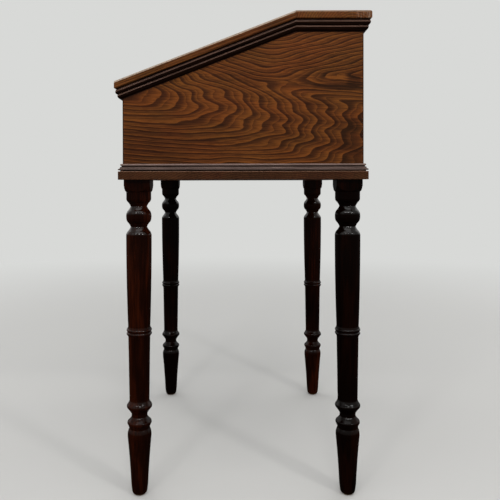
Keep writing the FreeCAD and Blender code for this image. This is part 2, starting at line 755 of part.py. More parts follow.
# ---- Butt hinges, drawn about their own pin axis --------------------------------------------
def rod(radius, x_low, x_high):
    """Round rod on the hinge's axis."""
    return Part.makeCylinder(radius, x_high - x_low, Vector(x_low, 0, 0), Vector(1, 0, 0))


def knuckle_spans(own):
    """Ends of the knuckles that belong (own=0) or don't (own=1) to the fixed leaf."""
    pitch = HINGE_LENGTH / KNUCKLE_COUNT
    starts = [-HINGE_LENGTH / 2 + pitch * place for place in range(own, KNUCKLE_COUNT, 2)]
    return [(start, start + pitch) for start in starts]


def hinge_leaf(own):
    """Leaf with every other knuckle; own=0 gives the fixed leaf, own=1 the lid's."""
    half = HINGE_LENGTH / 2
    low = RIDGE_GAP / 2
    plate = block(-half, half, low, low + LEAF_THICKNESS, -LEAF_REACH, 0.0)
    room = KNUCKLE_RADIUS + KNUCKLE_CLEARANCE
    trim = KNUCKLE_GAP / 2
    plate = cut_all(plate, [rod(room, start - trim, end + trim)
                            for start, end in knuckle_spans(1 - own)])
    knuckles = [rod(KNUCKLE_RADIUS, start + trim, end - trim) for start, end in knuckle_spans(own)]
    leaf = join([plate] + knuckles).cut(rod(PIN_RADIUS + PIN_CLEARANCE, -half, half))
    leaf = cut_all(leaf, hinge_screw_set(screw_hole(SCREW_HEAD_RADIUS, SCREW_SHANK_RADIUS,
                                                    HINGE_SCREW_LENGTH)))
    return leaf if own == 0 else mirrored(leaf, Vector(0, 1, 0))


def hinge_screw_set(one):
    """Three screws, or their holes, through the fixed leaf."""
    height = -(LEAF_REACH + KNUCKLE_RADIUS) / 2
    return [set_at(one, Vector(step * HINGE_SCREW_PITCH, RIDGE_GAP / 2, height), Vector(0, 1, 0))
            for step in (-1, 0, 1)]


def at_hinge(shape, side):
    """A shape about the pin's axis, moved to the left (-1) or right (1) hinge."""
    moved = shape.copy()
    moved.translate(Vector(side * hinge_x, pivot_y, pivot_z))
    return moved


def leaf_side(shape, leaf_name):
    """A shape drawn for the fixed leaf, or its mirror image for the lid's leaf."""
    return shape if leaf_name == "fixed" else mirrored(shape, Vector(0, 1, 0))


def hinge_recesses(leaf_name):
    """Sinkings for both hinges' leaves, knuckles and screws."""
    half = HINGE_LENGTH / 2 + RECESS_CLEARANCE
    sinking = block(-half, half, -ABOVE, RIDGE_GAP / 2 + LEAF_THICKNESS + RECESS_CLEARANCE,
                    -LEAF_REACH - RECESS_CLEARANCE, ABOVE)
    trough = rod(KNUCKLE_RADIUS + KNUCKLE_CLEARANCE, -half, half)
    holes = hinge_screw_set(screw_hole(SCREW_HEAD_RADIUS, SCREW_SHANK_RADIUS, HINGE_SCREW_LENGTH))
    return [at_hinge(leaf_side(tool, leaf_name), side)
            for tool in [sinking, trough] + holes for side in (-1, 1)]


def hinge_screws(leaf_name):
    """The six screws of both hinges' fixed leaves, or of their lid leaves."""
    screws = hinge_screw_set(screw(SCREW_HEAD_RADIUS, SCREW_SHANK_RADIUS, HINGE_SCREW_LENGTH))
    return [at_hinge(leaf_side(one, leaf_name), side) for one in screws for side in (-1, 1)]


def hinge_pin():
    """Pin through all the knuckles."""
    return rod(PIN_RADIUS, -HINGE_LENGTH / 2, HINGE_LENGTH / 2)


# ---- Lock in the front board, link plate under the lid ---------------------------------------
lock_back_y = -inner_half_depth
lock_front_y = lock_back_y - LOCK_DEPTH
backplate_y = lock_back_y - BACKPLATE_THICKNESS
lock_bottom = seat_z(lock_back_y) - LOCK_DROP
key_z = seat_z(-half_depth) - KEY_DROP
finger_half_y = BOLT_THICKNESS / 2
finger_half_z = BOLT_FINGER_HEIGHT / 2
window_half_s = finger_half_y * slope_cos + finger_half_z * slope_sin + BOLT_FINGER_CLEARANCE
window_half_n = finger_half_y * slope_sin + finger_half_z * slope_cos + BOLT_FINGER_CLEARANCE
staple_half_s = window_half_s + STAPLE_SIDE
window_n = LID_GAP + SELVEDGE_THICKNESS + STAPLE_CLEARANCE + window_half_n
staple_n = window_n + window_half_n + STAPLE_SIDE
staple_y = lock_front_y + LOCK_WALL + STAPLE_CLEARANCE + staple_half_s
bolt_y = staple_y + window_n * slope_sin
finger_z = seat_z(staple_y) + LID_GAP - window_n * slope_cos
bolt_top = seat_z(staple_y) - staple_n - STAPLE_CLEARANCE
bolt_bottom = key_z + KEYHOLE_RADIUS + TALON_DEPTH
finger_start = STAPLE_THICKNESS / 2 + STAPLE_CLEARANCE


def rim_slab(y_low, y_high, top_drop, z_low, x_half):
    """Prism under the sloping rim, down to a level bottom."""
    outline = [(y_low, z_low), (y_high, z_low), (y_high, seat_z(y_high) - top_drop),
               (y_low, seat_z(y_low) - top_drop)]
    return across(outline, -x_half, x_half)


def rim_strip(y_low, y_high, top_drop, bottom_drop, x_half):
    """Strip that follows the sloping rim between two depths below it."""
    outline = [(y_low, seat_z(y_low) - bottom_drop), (y_high, seat_z(y_high) - bottom_drop),
               (y_high, seat_z(y_high) - top_drop), (y_low, seat_z(y_low) - top_drop)]
    return across(outline, -x_half, x_half)


def lock_body(grow):
    """Outside of case, selvedge and backplate together, a clearance larger all round."""
    half = LOCK_WIDTH / 2 + grow
    ear = half + LOCK_EAR
    front = lock_front_y - grow
    back = lock_back_y + ABOVE
    return join([rim_slab(front, back, -ABOVE, lock_bottom - grow, half),
                 rim_slab(backplate_y - grow, back, -ABOVE, lock_bottom - grow, ear),
                 rim_strip(front, back, -ABOVE, SELVEDGE_THICKNESS + grow, ear)])


def lock_case():
    """Case with its selvedge, open at the back, with a ledge and a stump for the bolt."""
    half = LOCK_WIDTH / 2
    inside = half - LOCK_WALL
    wall_y = lock_front_y + LOCK_WALL
    case = rim_slab(lock_front_y, backplate_y, 0.0, lock_bottom, half)
    hollow = rim_slab(wall_y, lock_back_y, SELVEDGE_THICKNESS, lock_bottom + LOCK_WALL, inside)
    selvedge = rim_strip(lock_front_y, lock_back_y, 0.0, SELVEDGE_THICKNESS, half + LOCK_EAR)
    ledge_top = bolt_bottom - BOLT_CLEARANCE
    ledge = block(-inside, inside, wall_y, bolt_y + finger_half_y, ledge_top - LOCK_WALL, ledge_top)
    stump = Part.makeCylinder(STUMP_RADIUS, bolt_y + finger_half_y - wall_y,
                              Vector(STAPLE_OFFSET / 2, wall_y, (bolt_top + bolt_bottom) / 2),
                              Vector(0, 1, 0))
    slots = [staple_slot(x) for x in (-STAPLE_OFFSET, STAPLE_OFFSET)]
    shell = join([case.cut(hollow), selvedge, ledge.cut(talon(0.0)), stump])
    return cut_all(shell, slots + [keyhole()])


def lock_backplate():
    """Plate that closes the case, with ears for its screws."""
    plate = rim_slab(backplate_y, lock_back_y, SELVEDGE_THICKNESS, lock_bottom,
                     LOCK_WIDTH / 2 + LOCK_EAR)
    return cut_all(plate, lock_screw_holes())


def lock_screw_set(one):
    """Four screws, or their holes, through the backplate's ears."""
    x = (LOCK_WIDTH + LOCK_EAR) / 2
    low = lock_bottom + LOCK_EAR
    high = seat_z(lock_back_y) - SELVEDGE_THICKNESS - LOCK_EAR
    return [set_at(one, Vector(side * x, lock_back_y, z), Vector(0, -1, 0))
            for side in (-1, 1) for z in (low, high)]


def lock_screws():
    """Screws that hold the lock to the front board."""
    return lock_screw_set(screw(SCREW_HEAD_RADIUS, SCREW_SHANK_RADIUS, LOCK_SCREW_LENGTH))


def lock_screw_holes():
    """The holes for those screws."""
    return lock_screw_set(screw_hole(SCREW_HEAD_RADIUS, SCREW_SHANK_RADIUS, LOCK_SCREW_LENGTH))


def keyhole():
    """Keyhole through the escutcheon, the front board and the case's front wall."""
    start = -half_depth - ABOVE
    deep = lock_front_y + LOCK_WALL - start
    eye = Part.makeCylinder(KEYHOLE_RADIUS, deep, Vector(0, start, key_z), Vector(0, 1, 0))
    half = KEYHOLE_SLOT_WIDTH / 2
    slot = block(-half, half, start, start + deep, key_z - KEYHOLE_SLOT_LENGTH, key_z)
    return join([eye, slot])


def talon(travel):
    """Notch in the bolt's lower edge, where the key turns it, over a length of travel."""
    return block(-TALON_WIDTH / 2, TALON_WIDTH / 2 + travel, lock_front_y, lock_back_y,
                 bolt_bottom - TALON_DEPTH, bolt_bottom + TALON_DEPTH)


def lock_bolt():
    """Bolt plate with two fingers that slide through the staples' windows."""
    y_low = bolt_y - finger_half_y
    y_high = bolt_y + finger_half_y
    finger_low = finger_z - finger_half_z
    pieces = []
    for x in (-STAPLE_OFFSET, STAPLE_OFFSET):
        tip = x - finger_start
        root = tip - BOLT_THROW
        post = root - BOLT_POST_WIDTH
        pieces.append(block(post, tip, y_low, y_high, finger_low, finger_z + finger_half_z))
        pieces.append(block(post, root, y_low, y_high, bolt_bottom, finger_z))
    right = STAPLE_OFFSET - finger_start - BOLT_THROW
    left = right - BOLT_POST_WIDTH - 2 * STAPLE_OFFSET
    reach = STUMP_RADIUS + BOLT_CLEARANCE
    middle = (bolt_top + bolt_bottom) / 2
    slot_x = STAPLE_OFFSET / 2
    slot = block(slot_x - BOLT_THROW - reach, slot_x + reach, y_low, y_high,
                 middle - reach, middle + reach)
    pieces.append(block(left, slot_x + reach + BOLT_POST_WIDTH, y_low, y_high,
                        bolt_bottom, bolt_top))
    return cut_all(join(pieces), [slot, talon(0.0)])


def under_lid(x_low, x_high, s_low, s_high, n_low, n_high):
    """Block set square to the lid: s runs up the slope, n down from the lid's underside."""
    centre_z = seat_z(staple_y) + LID_GAP

    def place(s, n):
        return (staple_y + s * slope_cos + n * slope_sin, centre_z + s * slope_sin - n * slope_cos)

    return across([place(s_low, n_low), place(s_high, n_low), place(s_high, n_high),
                   place(s_low, n_high)], x_low, x_high)


def staple_slot(x):
    """Slot in the selvedge that a staple drops through."""
    half = STAPLE_THICKNESS / 2 + STAPLE_CLEARANCE
    reach = staple_half_s + STAPLE_CLEARANCE
    return under_lid(x - half, x + half, -reach, reach, -ABOVE, window_n)


def staple(x):
    """Loop that hangs from the link plate."""
    low = x - STAPLE_THICKNESS / 2
    high = x + STAPLE_THICKNESS / 2
    loop = under_lid(low, high, -staple_half_s, staple_half_s, -LINK_PLATE_THICKNESS, staple_n)
    return loop.cut(under_lid(low - ABOVE, high + ABOVE, -window_half_s, window_half_s,
                              window_n - window_half_n, window_n + window_half_n))


def link_plate():
    """Plate under the lid with the two staples that the bolt catches."""
    half = LINK_PLATE_LENGTH / 2
    wide = LINK_PLATE_WIDTH / 2
    plate = under_lid(-half, half, -wide, wide, -LINK_PLATE_THICKNESS, 0.0)
    pieces = [plate, staple(-STAPLE_OFFSET), staple(STAPLE_OFFSET)]
    return cut_all(join(pieces), link_screw_holes())


def link_recess():
    """Sinking for the plate in the lid's underside."""
    half = LINK_PLATE_LENGTH / 2 + RECESS_CLEARANCE
    wide = LINK_PLATE_WIDTH / 2 + RECESS_CLEARANCE
    return under_lid(-half, half, -wide, wide, -LINK_PLATE_THICKNESS - RECESS_CLEARANCE, ABOVE)


def link_screw_set(one):
    """Two screws, or their holes, up through the link plate."""
    point_z = seat_z(staple_y) + LID_GAP
    up = Vector(0, -slope_sin, slope_cos)
    return [set_at(one, Vector(side * LINK_SCREW_OFFSET, staple_y, point_z), up)
            for side in (-1, 1)]


def link_screws():
    """Screws that hold the link plate."""
    return link_screw_set(screw(SCREW_HEAD_RADIUS, SCREW_SHANK_RADIUS, LINK_SCREW_LENGTH))


def link_screw_holes():
    """The holes for those screws."""
    return link_screw_set(screw_hole(SCREW_HEAD_RADIUS, SCREW_SHANK_RADIUS, LINK_SCREW_LENGTH))


# ---- Escutcheon -----------------------------------------------------------------------------
escutcheon_z = key_z - KEYHOLE_SLOT_LENGTH / 2 + KEYHOLE_RADIUS / 2


def escutcheon():
    """Oval keyhole plate on the front."""
    centre = Vector(0, -half_depth, escutcheon_z)
    oval = Part.Ellipse(centre + Vector(0, 0, ESCUTCHEON_HEIGHT / 2),
                        centre + Vector(ESCUTCHEON_WIDTH / 2, 0, 0), centre)
    face = Part.Face(Part.Wire([oval.toShape()]))
    plate = face.extrude(Vector(0, -ESCUTCHEON_THICKNESS, 0))
    pins = [set_at(pin_hole(), point, Vector(0, 1, 0)) for point in escutcheon_pin_points()]
    return cut_all(plate, [keyhole()] + pins)


def escutcheon_pin_points():
    """Where the two pins enter the plate's face."""
    y = -half_depth - ESCUTCHEON_THICKNESS
    return [Vector(0, y, escutcheon_z + side * ESCUTCHEON_PIN_OFFSET) for side in (-1, 1)]


def pin_hole():
    """Hole for an escutcheon pin, pointing down from the plate's face."""
    radius = ESCUTCHEON_PIN_RADIUS + PIN_CLEARANCE
    return Part.makeCylinder(radius, ESCUTCHEON_PIN_LENGTH + PIN_CLEARANCE + ABOVE,
                             Vector(0, 0, -ESCUTCHEON_PIN_LENGTH - PIN_CLEARANCE))


def escutcheon_pins():
    """Round-headed pins."""
    outline = Turning(ESCUTCHEON_PIN_RADIUS, ESCUTCHEON_PIN_HEAD)
    outline.down(ESCUTCHEON_PIN_HEAD, 2 * ESCUTCHEON_PIN_RADIUS, ESCUTCHEON_PIN_HEAD / 4)
    outline.step(ESCUTCHEON_PIN_RADIUS)
    outline.down(ESCUTCHEON_PIN_LENGTH, ESCUTCHEON_PIN_RADIUS)
    return [set_at(outline.solid(), point, Vector(0, 1, 0)) for point in escutcheon_pin_points()]


# ---- The pieces by name ---------------------------------------------------------------------
def pair(name, right_shape):
    """A right-hand piece and its left-hand twin."""
    return {name + "_right": right_shape, name + "_left": left_of(right_shape)}


def group(shapes):
    """Several like solids under one name."""
    return Part.makeCompound(shapes)


def carcase():
    """Box, base board and fixed top."""
    parts = {"base_board": base_board(), "front_board": front_board(), "back_board": back_board(),
             "top_board": top_board(), "top_glue_blocks": group(glue_blocks()),
             "base_screws": group(base_screws())}
    parts.update(pair("end_panel", end_panel()))
    return parts


def lid():
    """Lid with its clamped ends."""
    return {"lid_panel": lid_panel(), **pair("lid_clamp", lid_clamp())}


def mouldings():
    """Cornice under the top, and moulding round the foot of the box."""
    down_slope = -(half_depth + ridge_y + moulding_reach)
    level = half_depth - ridge_y + moulding_reach
    return {"cornice_front": cornice_front(), "cornice_back": cornice_back(),
            **pair("cornice_slope", cornice_end(down_slope)),
            **pair("cornice_flat", cornice_end(level)),
            "base_moulding_front": base_moulding("front"),
            "base_moulding_back": base_moulding("back"),
            **pair("base_moulding", base_moulding("right"))}


def legs():
    """Four legs with the blocks and wedges that hold them."""
    parts = {}
    wedges = []
    one_leg = leg()
    for depth_name, y_side in (("front", -1), ("back", 1)):
        for width_name, x_side in (("left", -1), ("right", 1)):
            corner = depth_name + "_" + width_name
            parts["leg_" + corner] = at_leg(one_leg, x_side, y_side)
            parts["corner_block_" + corner] = corner_block(x_side, y_side)
            wedges.append(at_leg(leg_wedge(), x_side, y_side))
    parts["leg_wedges"] = group(wedges)
    return parts


def hinges():
    """Two butt hinges with their pins and screws."""
    parts = {"hinge_screws_fixed": group(hinge_screws("fixed")),
             "hinge_screws_lid": group(hinge_screws("lid"))}
    for name, x_side in (("left", -1), ("right", 1)):
        parts["hinge_fixed_leaf_" + name] = at_hinge(hinge_leaf(0), x_side)
        parts["hinge_lid_leaf_" + name] = at_hinge(hinge_leaf(1), x_side)
        parts["hinge_pin_" + name] = at_hinge(hinge_pin(), x_side)
    return parts


def lock():
    """Lock, link plate and keyhole plate."""
    return {"lock_case": lock_case(), "lock_backplate": lock_backplate(), "lock_bolt": lock_bolt(),
            "lock_screws": group(lock_screws()), "link_plate": link_plate(),
            "link_plate_screws": group(link_screws()), "escutcheon": escutcheon(),
            "escutcheon_pins": group(escutcheon_pins())}


os.makedirs("parts", exist_ok=True)
for pieces in (carcase(), lid(), mouldings(), legs(), hinges(), lock()):
    for node, shape in pieces.items():
        shape.exportStep("parts/" + node + ".step")
        print(node, len(shape.Solids), round(shape.Volume), shape.isValid())
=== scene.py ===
"""Looks of a clerk's standing desk: finishes, turned legs, mouldings, studio and camera."""

import logging
import math
from collections.abc import Mapping, Sequence
from dataclasses import dataclass, field
from enum import Enum

import bpy
from bpy.types import Material, Node, NodeSocket, NodeTree, Object
from mathutils import Euler, Matrix, Vector, noise


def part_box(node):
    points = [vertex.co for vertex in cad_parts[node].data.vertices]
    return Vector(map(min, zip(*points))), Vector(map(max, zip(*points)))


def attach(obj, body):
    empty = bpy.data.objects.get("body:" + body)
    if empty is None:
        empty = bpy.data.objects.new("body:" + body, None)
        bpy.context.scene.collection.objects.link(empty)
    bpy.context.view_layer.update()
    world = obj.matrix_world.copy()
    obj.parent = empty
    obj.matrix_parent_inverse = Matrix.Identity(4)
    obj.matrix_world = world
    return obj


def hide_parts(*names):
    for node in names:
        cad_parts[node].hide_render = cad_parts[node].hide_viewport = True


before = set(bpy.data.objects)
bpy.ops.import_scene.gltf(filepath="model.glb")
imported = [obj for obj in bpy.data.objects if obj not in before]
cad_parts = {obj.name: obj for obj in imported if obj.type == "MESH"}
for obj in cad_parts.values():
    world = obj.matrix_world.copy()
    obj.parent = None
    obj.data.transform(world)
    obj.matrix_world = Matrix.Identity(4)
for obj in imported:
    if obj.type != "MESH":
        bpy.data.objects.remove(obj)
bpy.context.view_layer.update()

LOG = logging.getLogger("clerks_desk")
MM = 0.001
SLOPE_DEG = 21.1
# Edges that turn by more than this are sharp.
SHARP_DEG = 32.0
# So long that a mark doesn't change through a board.
THROUGH_MM = 1e6
Colour = tuple[float, float, float, float]
Triple = tuple[float, float, float]
Point = tuple[float, float]


# ---- Small helpers --------------------------------------------------------------------------


def linear(hex_colour: str) -> Colour:
    """Turns an sRGB hex colour into Blender's linear colour.

    Args:
        hex_colour: six hex digits, such as "4B2B16".

    Returns:
        Red, green, blue and an alpha of one.
    """
    channels = [int(hex_colour[i:i + 2], 16) / 255 for i in (0, 2, 4)]
    red, green, blue = (c / 12.92 if c <= 0.04045 else ((c + 0.055) / 1.055) ** 2.4
                        for c in channels)
    return red, green, blue, 1.0


def grey(level: float) -> Colour:
    """Gives the grey of a linear level."""
    return level, level, level, 1.0


def add(tree: NodeTree, kind: str, inputs: Mapping | Sequence = (),
        stops: Sequence[tuple[float, Colour]] = (), **settings: object) -> Node:
    """Adds a node with its settings and links.

    Args:
        tree: the material's or world's node tree.
        kind: Blender's name for the node, without its first word, ShaderNode.
        inputs: values, sockets or nodes by input name, or in the order of the inputs. A node
            stands for its first output.
        stops: a colour ramp's positions and colours.
        settings: the node's own properties.

    Returns:
        The new node.
    """
    made = tree.nodes.new("ShaderNode" + kind)
    for name, value in settings.items():
        setattr(made, name, value)
    for place, (position, colour) in enumerate(stops):
        elements = made.color_ramp.elements
        element = elements[place] if place < 2 else elements.new(position)
        element.position, element.color = position, colour
    pairs = inputs.items() if isinstance(inputs, Mapping) else enumerate(inputs)
    for key, source in pairs:
        if isinstance(source, Node):
            source = next(socket for socket in source.outputs if socket.enabled)
        if isinstance(source, NodeSocket):
            tree.links.new(source, made.inputs[key])
        else:
            made.inputs[key].default_value = source
    return made


def new_material(name: str) -> tuple[Material, NodeTree]:
    """Makes an empty material.

    Args:
        name: the material's name.

    Returns:
        The material and its node tree.
    """
    material = bpy.data.materials.new(name)
    material.use_nodes = True
    material.node_tree.nodes.clear()
    return material, material.node_tree


def desk_place(tree: NodeTree) -> Node:
    """Finds the point in the desk's frame, in millimetres."""
    where = add(tree, "TexCoord")
    return add(tree, "VectorMath", (where.outputs["Object"], (1 / MM,) * 3), operation="MULTIPLY")


def pattern(tree: NodeTree, place: Node, size_mm: Triple, seed: float, detail: float = 2.0,
            roughness: float = 0.5) -> Node:
    """Makes an uneven pattern of a real size.

    Args:
        tree: the material's node tree.
        place: the point, in millimetres.
        size_mm: how long a swing is along each axis.
        seed: tells the pattern from others.
        detail: how many finer swings lie on it.
        roughness: how strong those are.

    Returns:
        A node with values between nought and one.
    """
    scaled = add(tree, "VectorMath", (place, size_mm), operation="DIVIDE")
    return add(tree, "TexNoise", {"Vector": scaled, "W": seed, "Scale": 1.0, "Detail": detail,
                                  "Roughness": roughness}, noise_dimensions="4D")


def dress(material: Material, *nodes: str) -> None:
    """Gives CAD nodes a material.

    Args:
        material: what to put on them.
        nodes: the CAD nodes' names.
    """
    for name in nodes:
        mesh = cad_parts[name].data
        mesh.materials.clear()
        mesh.materials.append(material)
        LOG.info("dressed %s in %s", name, material.name)


def make_piece(name: str, vertices: Sequence[Vector], faces: Sequence[Sequence[int]],
               material: Material, sharp_deg: float = SHARP_DEG) -> Object:
    """Makes a mesh object and links it to the scene.

    Args:
        name: the piece's name.
        vertices: its points in the desk's frame, in millimetres.
        faces: its faces, as indices of points.
        material: its finish.
        sharp_deg: edges that turn by more than this stay sharp.

    Returns:
        The object.
    """
    mesh = bpy.data.meshes.new(name)
    mesh.from_pydata([v * MM for v in vertices], [], faces)
    mesh.polygons.foreach_set("use_smooth", [True] * len(mesh.polygons))
    mesh.set_sharp_from_angle(angle=math.radians(sharp_deg))
    mesh.materials.append(material)
    piece = bpy.data.objects.new(name, mesh)
    bpy.context.scene.collection.objects.link(piece)
    return piece


def skin(rows: int, count: int) -> list[list[int]]:
    """Joins rows of points into a tube.

    Args:
        rows: how many rows there are.
        count: how many points go round each.

    Returns:
        The faces, as indices of points.
    """
    faces = []
    for upper in range(0, (rows - 1) * count, count):
        for place in range(count):
            after = (place + 1) % count
            faces.append([upper + place, upper + count + place, upper + count + after,
                          upper + after])
    return faces


def ease(piece: Object, width_mm: float) -> None:
    """Breaks a piece's sharp edges with a narrow round.

    Args:
        piece: the piece.
        width_mm: how wide the round is.
    """
    modifier = piece.modifiers.new("eased_edges", "BEVEL")
    modifier.width = width_mm * MM
    modifier.segments = 2
    modifier.limit_method = "ANGLE"
    modifier.angle_limit = math.radians(SHARP_DEG)
    modifier.use_clamp_overlap = True
    modifier.harden_normals = True


class Pen:
    """Draws an outline of straight and bowed steps, as a turner's or moulder's template."""

    straight_step_mm = 12.0
    same_place_mm = 1e-6

    def __init__(self, start: Point, finest_mm: float = 1.0) -> None:
        """Puts the pen down.

        Args:
            start: the first point.
            finest_mm: about how long a step along a curve is.
        """
        self.points: list[Point] = [start]
        self.painted_highlight: list[float] = [0.0]
        self.finest_mm = finest_mm

    def to(self, end: Point, swell: float = 0.0, painted_highlight: float = 0.0) -> None:
        """Draws to a point, bowed by swell to the left of the direction.

        Args:
            end: where the step ends.
            swell: how far the middle stands off the straight line.
            painted_highlight: how strongly a highlight is painted on this step, nought to one.
        """
        start = self.points[-1]
        run = Vector((end[0] - start[0], end[1] - start[1]))
        length = run.length
        if length < self.same_place_mm:
            return
        left = Vector((-run.y, run.x)) / length
        step = self.finest_mm if swell else self.straight_step_mm
        count = max(1, round(length / step))
        radius = (length * length / 4 + swell * swell) / (2 * abs(swell)) if swell else 0.0
        for place in range(1, count + 1):
            along = place / count
            stand = 0.0
            if swell:
                across = (along - 0.5) * length
                rise = math.sqrt(max(radius * radius - across * across, 0.0)) - radius + abs(swell)
                stand = math.copysign(rise, swell)
            self.points.append((start[0] + run.x * along + left.x * stand,
                                start[1] + run.y * along + left.y * stand))
            self.painted_highlight.append(painted_highlight)


# ---- Oak ------------------------------------------------------------------------------------


class Grain(Enum):
    """Which way a board's grain runs."""

    ALONG_WIDTH = Vector((1, 0, 0))
    ALONG_DEPTH = Vector((0, 1, 0))
    UPRIGHT = Vector((0, 0, 1))
    UP_THE_SLOPE = Vector((0, math.cos(math.radians(SLOPE_DEG)), math.sin(math.radians(SLOPE_DEG))))


@dataclass(frozen=True)
class Log:
    """Where a board lay in its tree.

    The rings are cylinders about the pith. A board's end shows them as arcs, its sides show them
    as lines, and a small lean of the pith turns those lines into pointed arches.
    """

    grain: Grain
    pith_mm: Triple
    ring_mm: float = 7.0
    lean_deg: float = 1.5
    seed: float = 0.0
    tilt_deg: float = 0.0

    def rotation(self) -> Euler:
        """Turns the log's own X axis along the grain, a little off it both ways.

        Returns:
            The rotation.
        """
        turn = Vector((1, 0, 0)).rotation_difference(self.grain.value).to_matrix()
        lean = Matrix.Rotation(math.radians(self.lean_deg), 3, "Y")
        skew = Matrix.Rotation(math.radians(self.lean_deg * 0.6), 3, "Z")
        return (turn @ lean @ skew).to_euler("XYZ")


@dataclass(frozen=True)
class Stain:
    """Colour and polish of stained oak, as sRGB hex and plain shader values.

    The stain sinks into the open pores of the early wood, which turns darkest, and the hard late
    wood stays lighter and more orange.
    """

    dark: str
    middle: str
    light: str
    # The colour of worn wood, which also paints the highlight on upper edges and moulding noses.
    wear_and_sheen: str
    roughness: float = 0.42
    wax: float = 0.1
    contrast: float = 1.0


class Oak:
    """Sawn, planed, stained and waxed oak, drawn as a solid block of wood.

    The eye gets dark growth lines, short specks of open pores along the grain, the low, soft shine
    of wax, and wear with a painted highlight along the upper edges.
    """

    # Marks have this size along the grain and both ways across it. Real pores are about 0.3 mm
    # across; they are drawn at 1.5 mm so that they show.
    pore_mm = (24.0, 1.5, 1.5)
    fibre_mm = (90.0, 3.5, 3.5)
    cloud_mm = (160.0, 90.0, 90.0)
    blush_mm = (120.0, 45.0, 45.0)
    mark_roughness = 0.6
    # The rings wander by about this many of their own widths.
    sway_rings = 2.4
    sway_mm = (455.0, 62.5, 62.5)
    # How far each pattern lightens the wood. The first two follow the stain's contrast too.
    year_share = 0.5
    half_year_share = 0.32
    fibre_share = 0.75
    cloud_share = 0.6
    # The sums that come out darkest and lightest, without contrast, and what contrast adds.
    darkest = (0.44, 0.175)
    lightest = (0.84, 0.645)
    # The largest part of the normal on a flat face, and on an eased edge.
    flat_face = 0.998
    eased_edge = 0.98
    # How far down and up an edge may face and still get painted wear and highlight.
    wear_and_sheen_facing = (-0.1, 0.2)
    wear_and_sheen_from = 0.05
    wear_and_sheen_to = 0.5
    pore_tone = 0.6
    relief_mm = 0.25
    relief_strength = 0.25
    gloss_spread = (-0.06, 0.08)
    bare_roughness = 0.7
    wax_ior = 1.5

    def __init__(self, name: str, log: Log, stain: Stain) -> None:
        """Starts the material.

        Args:
            name: the material's name.
            log: where the board lay in its tree.
            stain: its colours and polish.
        """
        self.log = log
        self.stain = stain
        self.finish, self.tree = new_material(name)
        self.place = self.log_place()

    def log_place(self) -> Node:
        """Finds the point in the log's frame, in millimetres."""
        where = add(self.tree, "TexCoord")
        return add(self.tree, "Mapping", {
            "Vector": where.outputs["Object"], "Location": [c * MM for c in self.log.pith_mm],
            "Rotation": self.log.rotation(), "Scale": (MM, MM, MM)}, vector_type="TEXTURE")

    def rings(self) -> Node:
        """Counts growth rings outward from the pith.

        Returns:
            A node that gives the number of rings, whole and part.
        """
        flat = add(self.tree, "VectorMath", (self.place, (0.0, 1.0, 1.0)), operation="MULTIPLY")
        radius = add(self.tree, "VectorMath", (flat,), operation="LENGTH")
        sway = pattern(self.tree, self.place, self.sway_mm, self.log.seed)
        moved = add(self.tree, "Math", (sway, self.sway_rings * self.log.ring_mm, radius),
                    operation="MULTIPLY_ADD")
        return add(self.tree, "Math", (moved, self.log.ring_mm), operation="DIVIDE")

    def wear_and_sheen(self) -> Node:
        """Finds the upper eased edges, which face between the board's axes, where wear and a
        highlight are painted.

        Returns:
            A node that is one where wear and highlight are painted fully.
        """
        normal = add(self.tree, "TexCoord").outputs["Normal"]
        level = add(self.tree, "VectorRotate", {
            "Vector": normal, "Angle": -math.radians(self.log.tilt_deg)}, rotation_type="X_AXIS")
        size = add(self.tree, "VectorMath", (level,), operation="ABSOLUTE")
        parts = add(self.tree, "SeparateXYZ", (size,)).outputs
        larger = add(self.tree, "Math", (parts[0], parts[1]), operation="MAXIMUM")
        largest = add(self.tree, "Math", (larger, parts[2]), operation="MAXIMUM")
        edge = add(self.tree, "MapRange", {
            "Value": largest, "From Min": self.flat_face, "From Max": self.eased_edge},
            interpolation_type="SMOOTHSTEP")
        height = add(self.tree, "SeparateXYZ", (normal,)).outputs[2]
        down, up = self.wear_and_sheen_facing
        upper = add(self.tree, "MapRange", {"Value": height, "From Min": down, "From Max": up})
        return add(self.tree, "Math", (edge, upper), operation="MULTIPLY")

    def streaks(self, size_mm: Triple, detail: float = 2.0) -> Node:
        """Makes marks of this size that are drawn out along the grain."""
        return pattern(self.tree, self.place, size_mm, self.log.seed, detail, self.mark_roughness)

    def marks(self, tone: Node) -> Node:
        """Adds marks of this board alone to its tone. Plain boards have none."""
        return tone

    def tone(self, fibres: Node, clouds: Node) -> tuple[Node, Node]:
        """Works out how light the stained wood is.

        Args:
            fibres: fine streaks.
            clouds: broad patches.

        Returns:
            The tone from nought to one, and how light this part of the year is.
        """
        contrast = self.stain.contrast
        count = self.rings()
        part = add(self.tree, "Math", (count,), operation="FRACT")
        # Early wood opens with a sharp dark line and pales towards the end of the year.
        year = add(self.tree, "ValToRGB", (part,), stops=(
            (0.0, grey(0.65)), (0.07, grey(0.0)), (0.22, grey(0.1)), (0.44, grey(0.66)),
            (0.9, grey(1.0))))
        # A dry spell halfway through the year leaves a fainter line of its own.
        halves = add(self.tree, "Math", (count, 2.0), operation="MULTIPLY")
        halves = add(self.tree, "Math", (halves,), operation="FRACT")
        tone = add(self.tree, "Math", (year, self.year_share * contrast), operation="MULTIPLY")
        for source, share in ((halves, self.half_year_share * contrast),
                              (fibres, self.fibre_share), (clouds, self.cloud_share)):
            tone = add(self.tree, "Math", (source, share, tone), operation="MULTIPLY_ADD")
        lowest, highest = (plain + more * contrast for plain, more in (self.darkest, self.lightest))
        return add(self.tree, "MapRange", {"Value": self.marks(tone), "From Min": lowest,
                                           "From Max": highest}), year

    def colour(self, tone: Node, pores: Node, fibres: Node) -> Node:
        """Stains the wood, darkens its pores, and paints wear and a highlight on its upper edges.

        Args:
            tone: how light the wood is.
            pores: short fine marks.
            fibres: longer marks.

        Returns:
            A node that gives the colour.
        """
        plain = add(self.tree, "ValToRGB", (tone,), stops=(
            (0.0, linear(self.stain.dark)), (0.5, linear(self.stain.middle)),
            (1.0, linear(self.stain.light))))
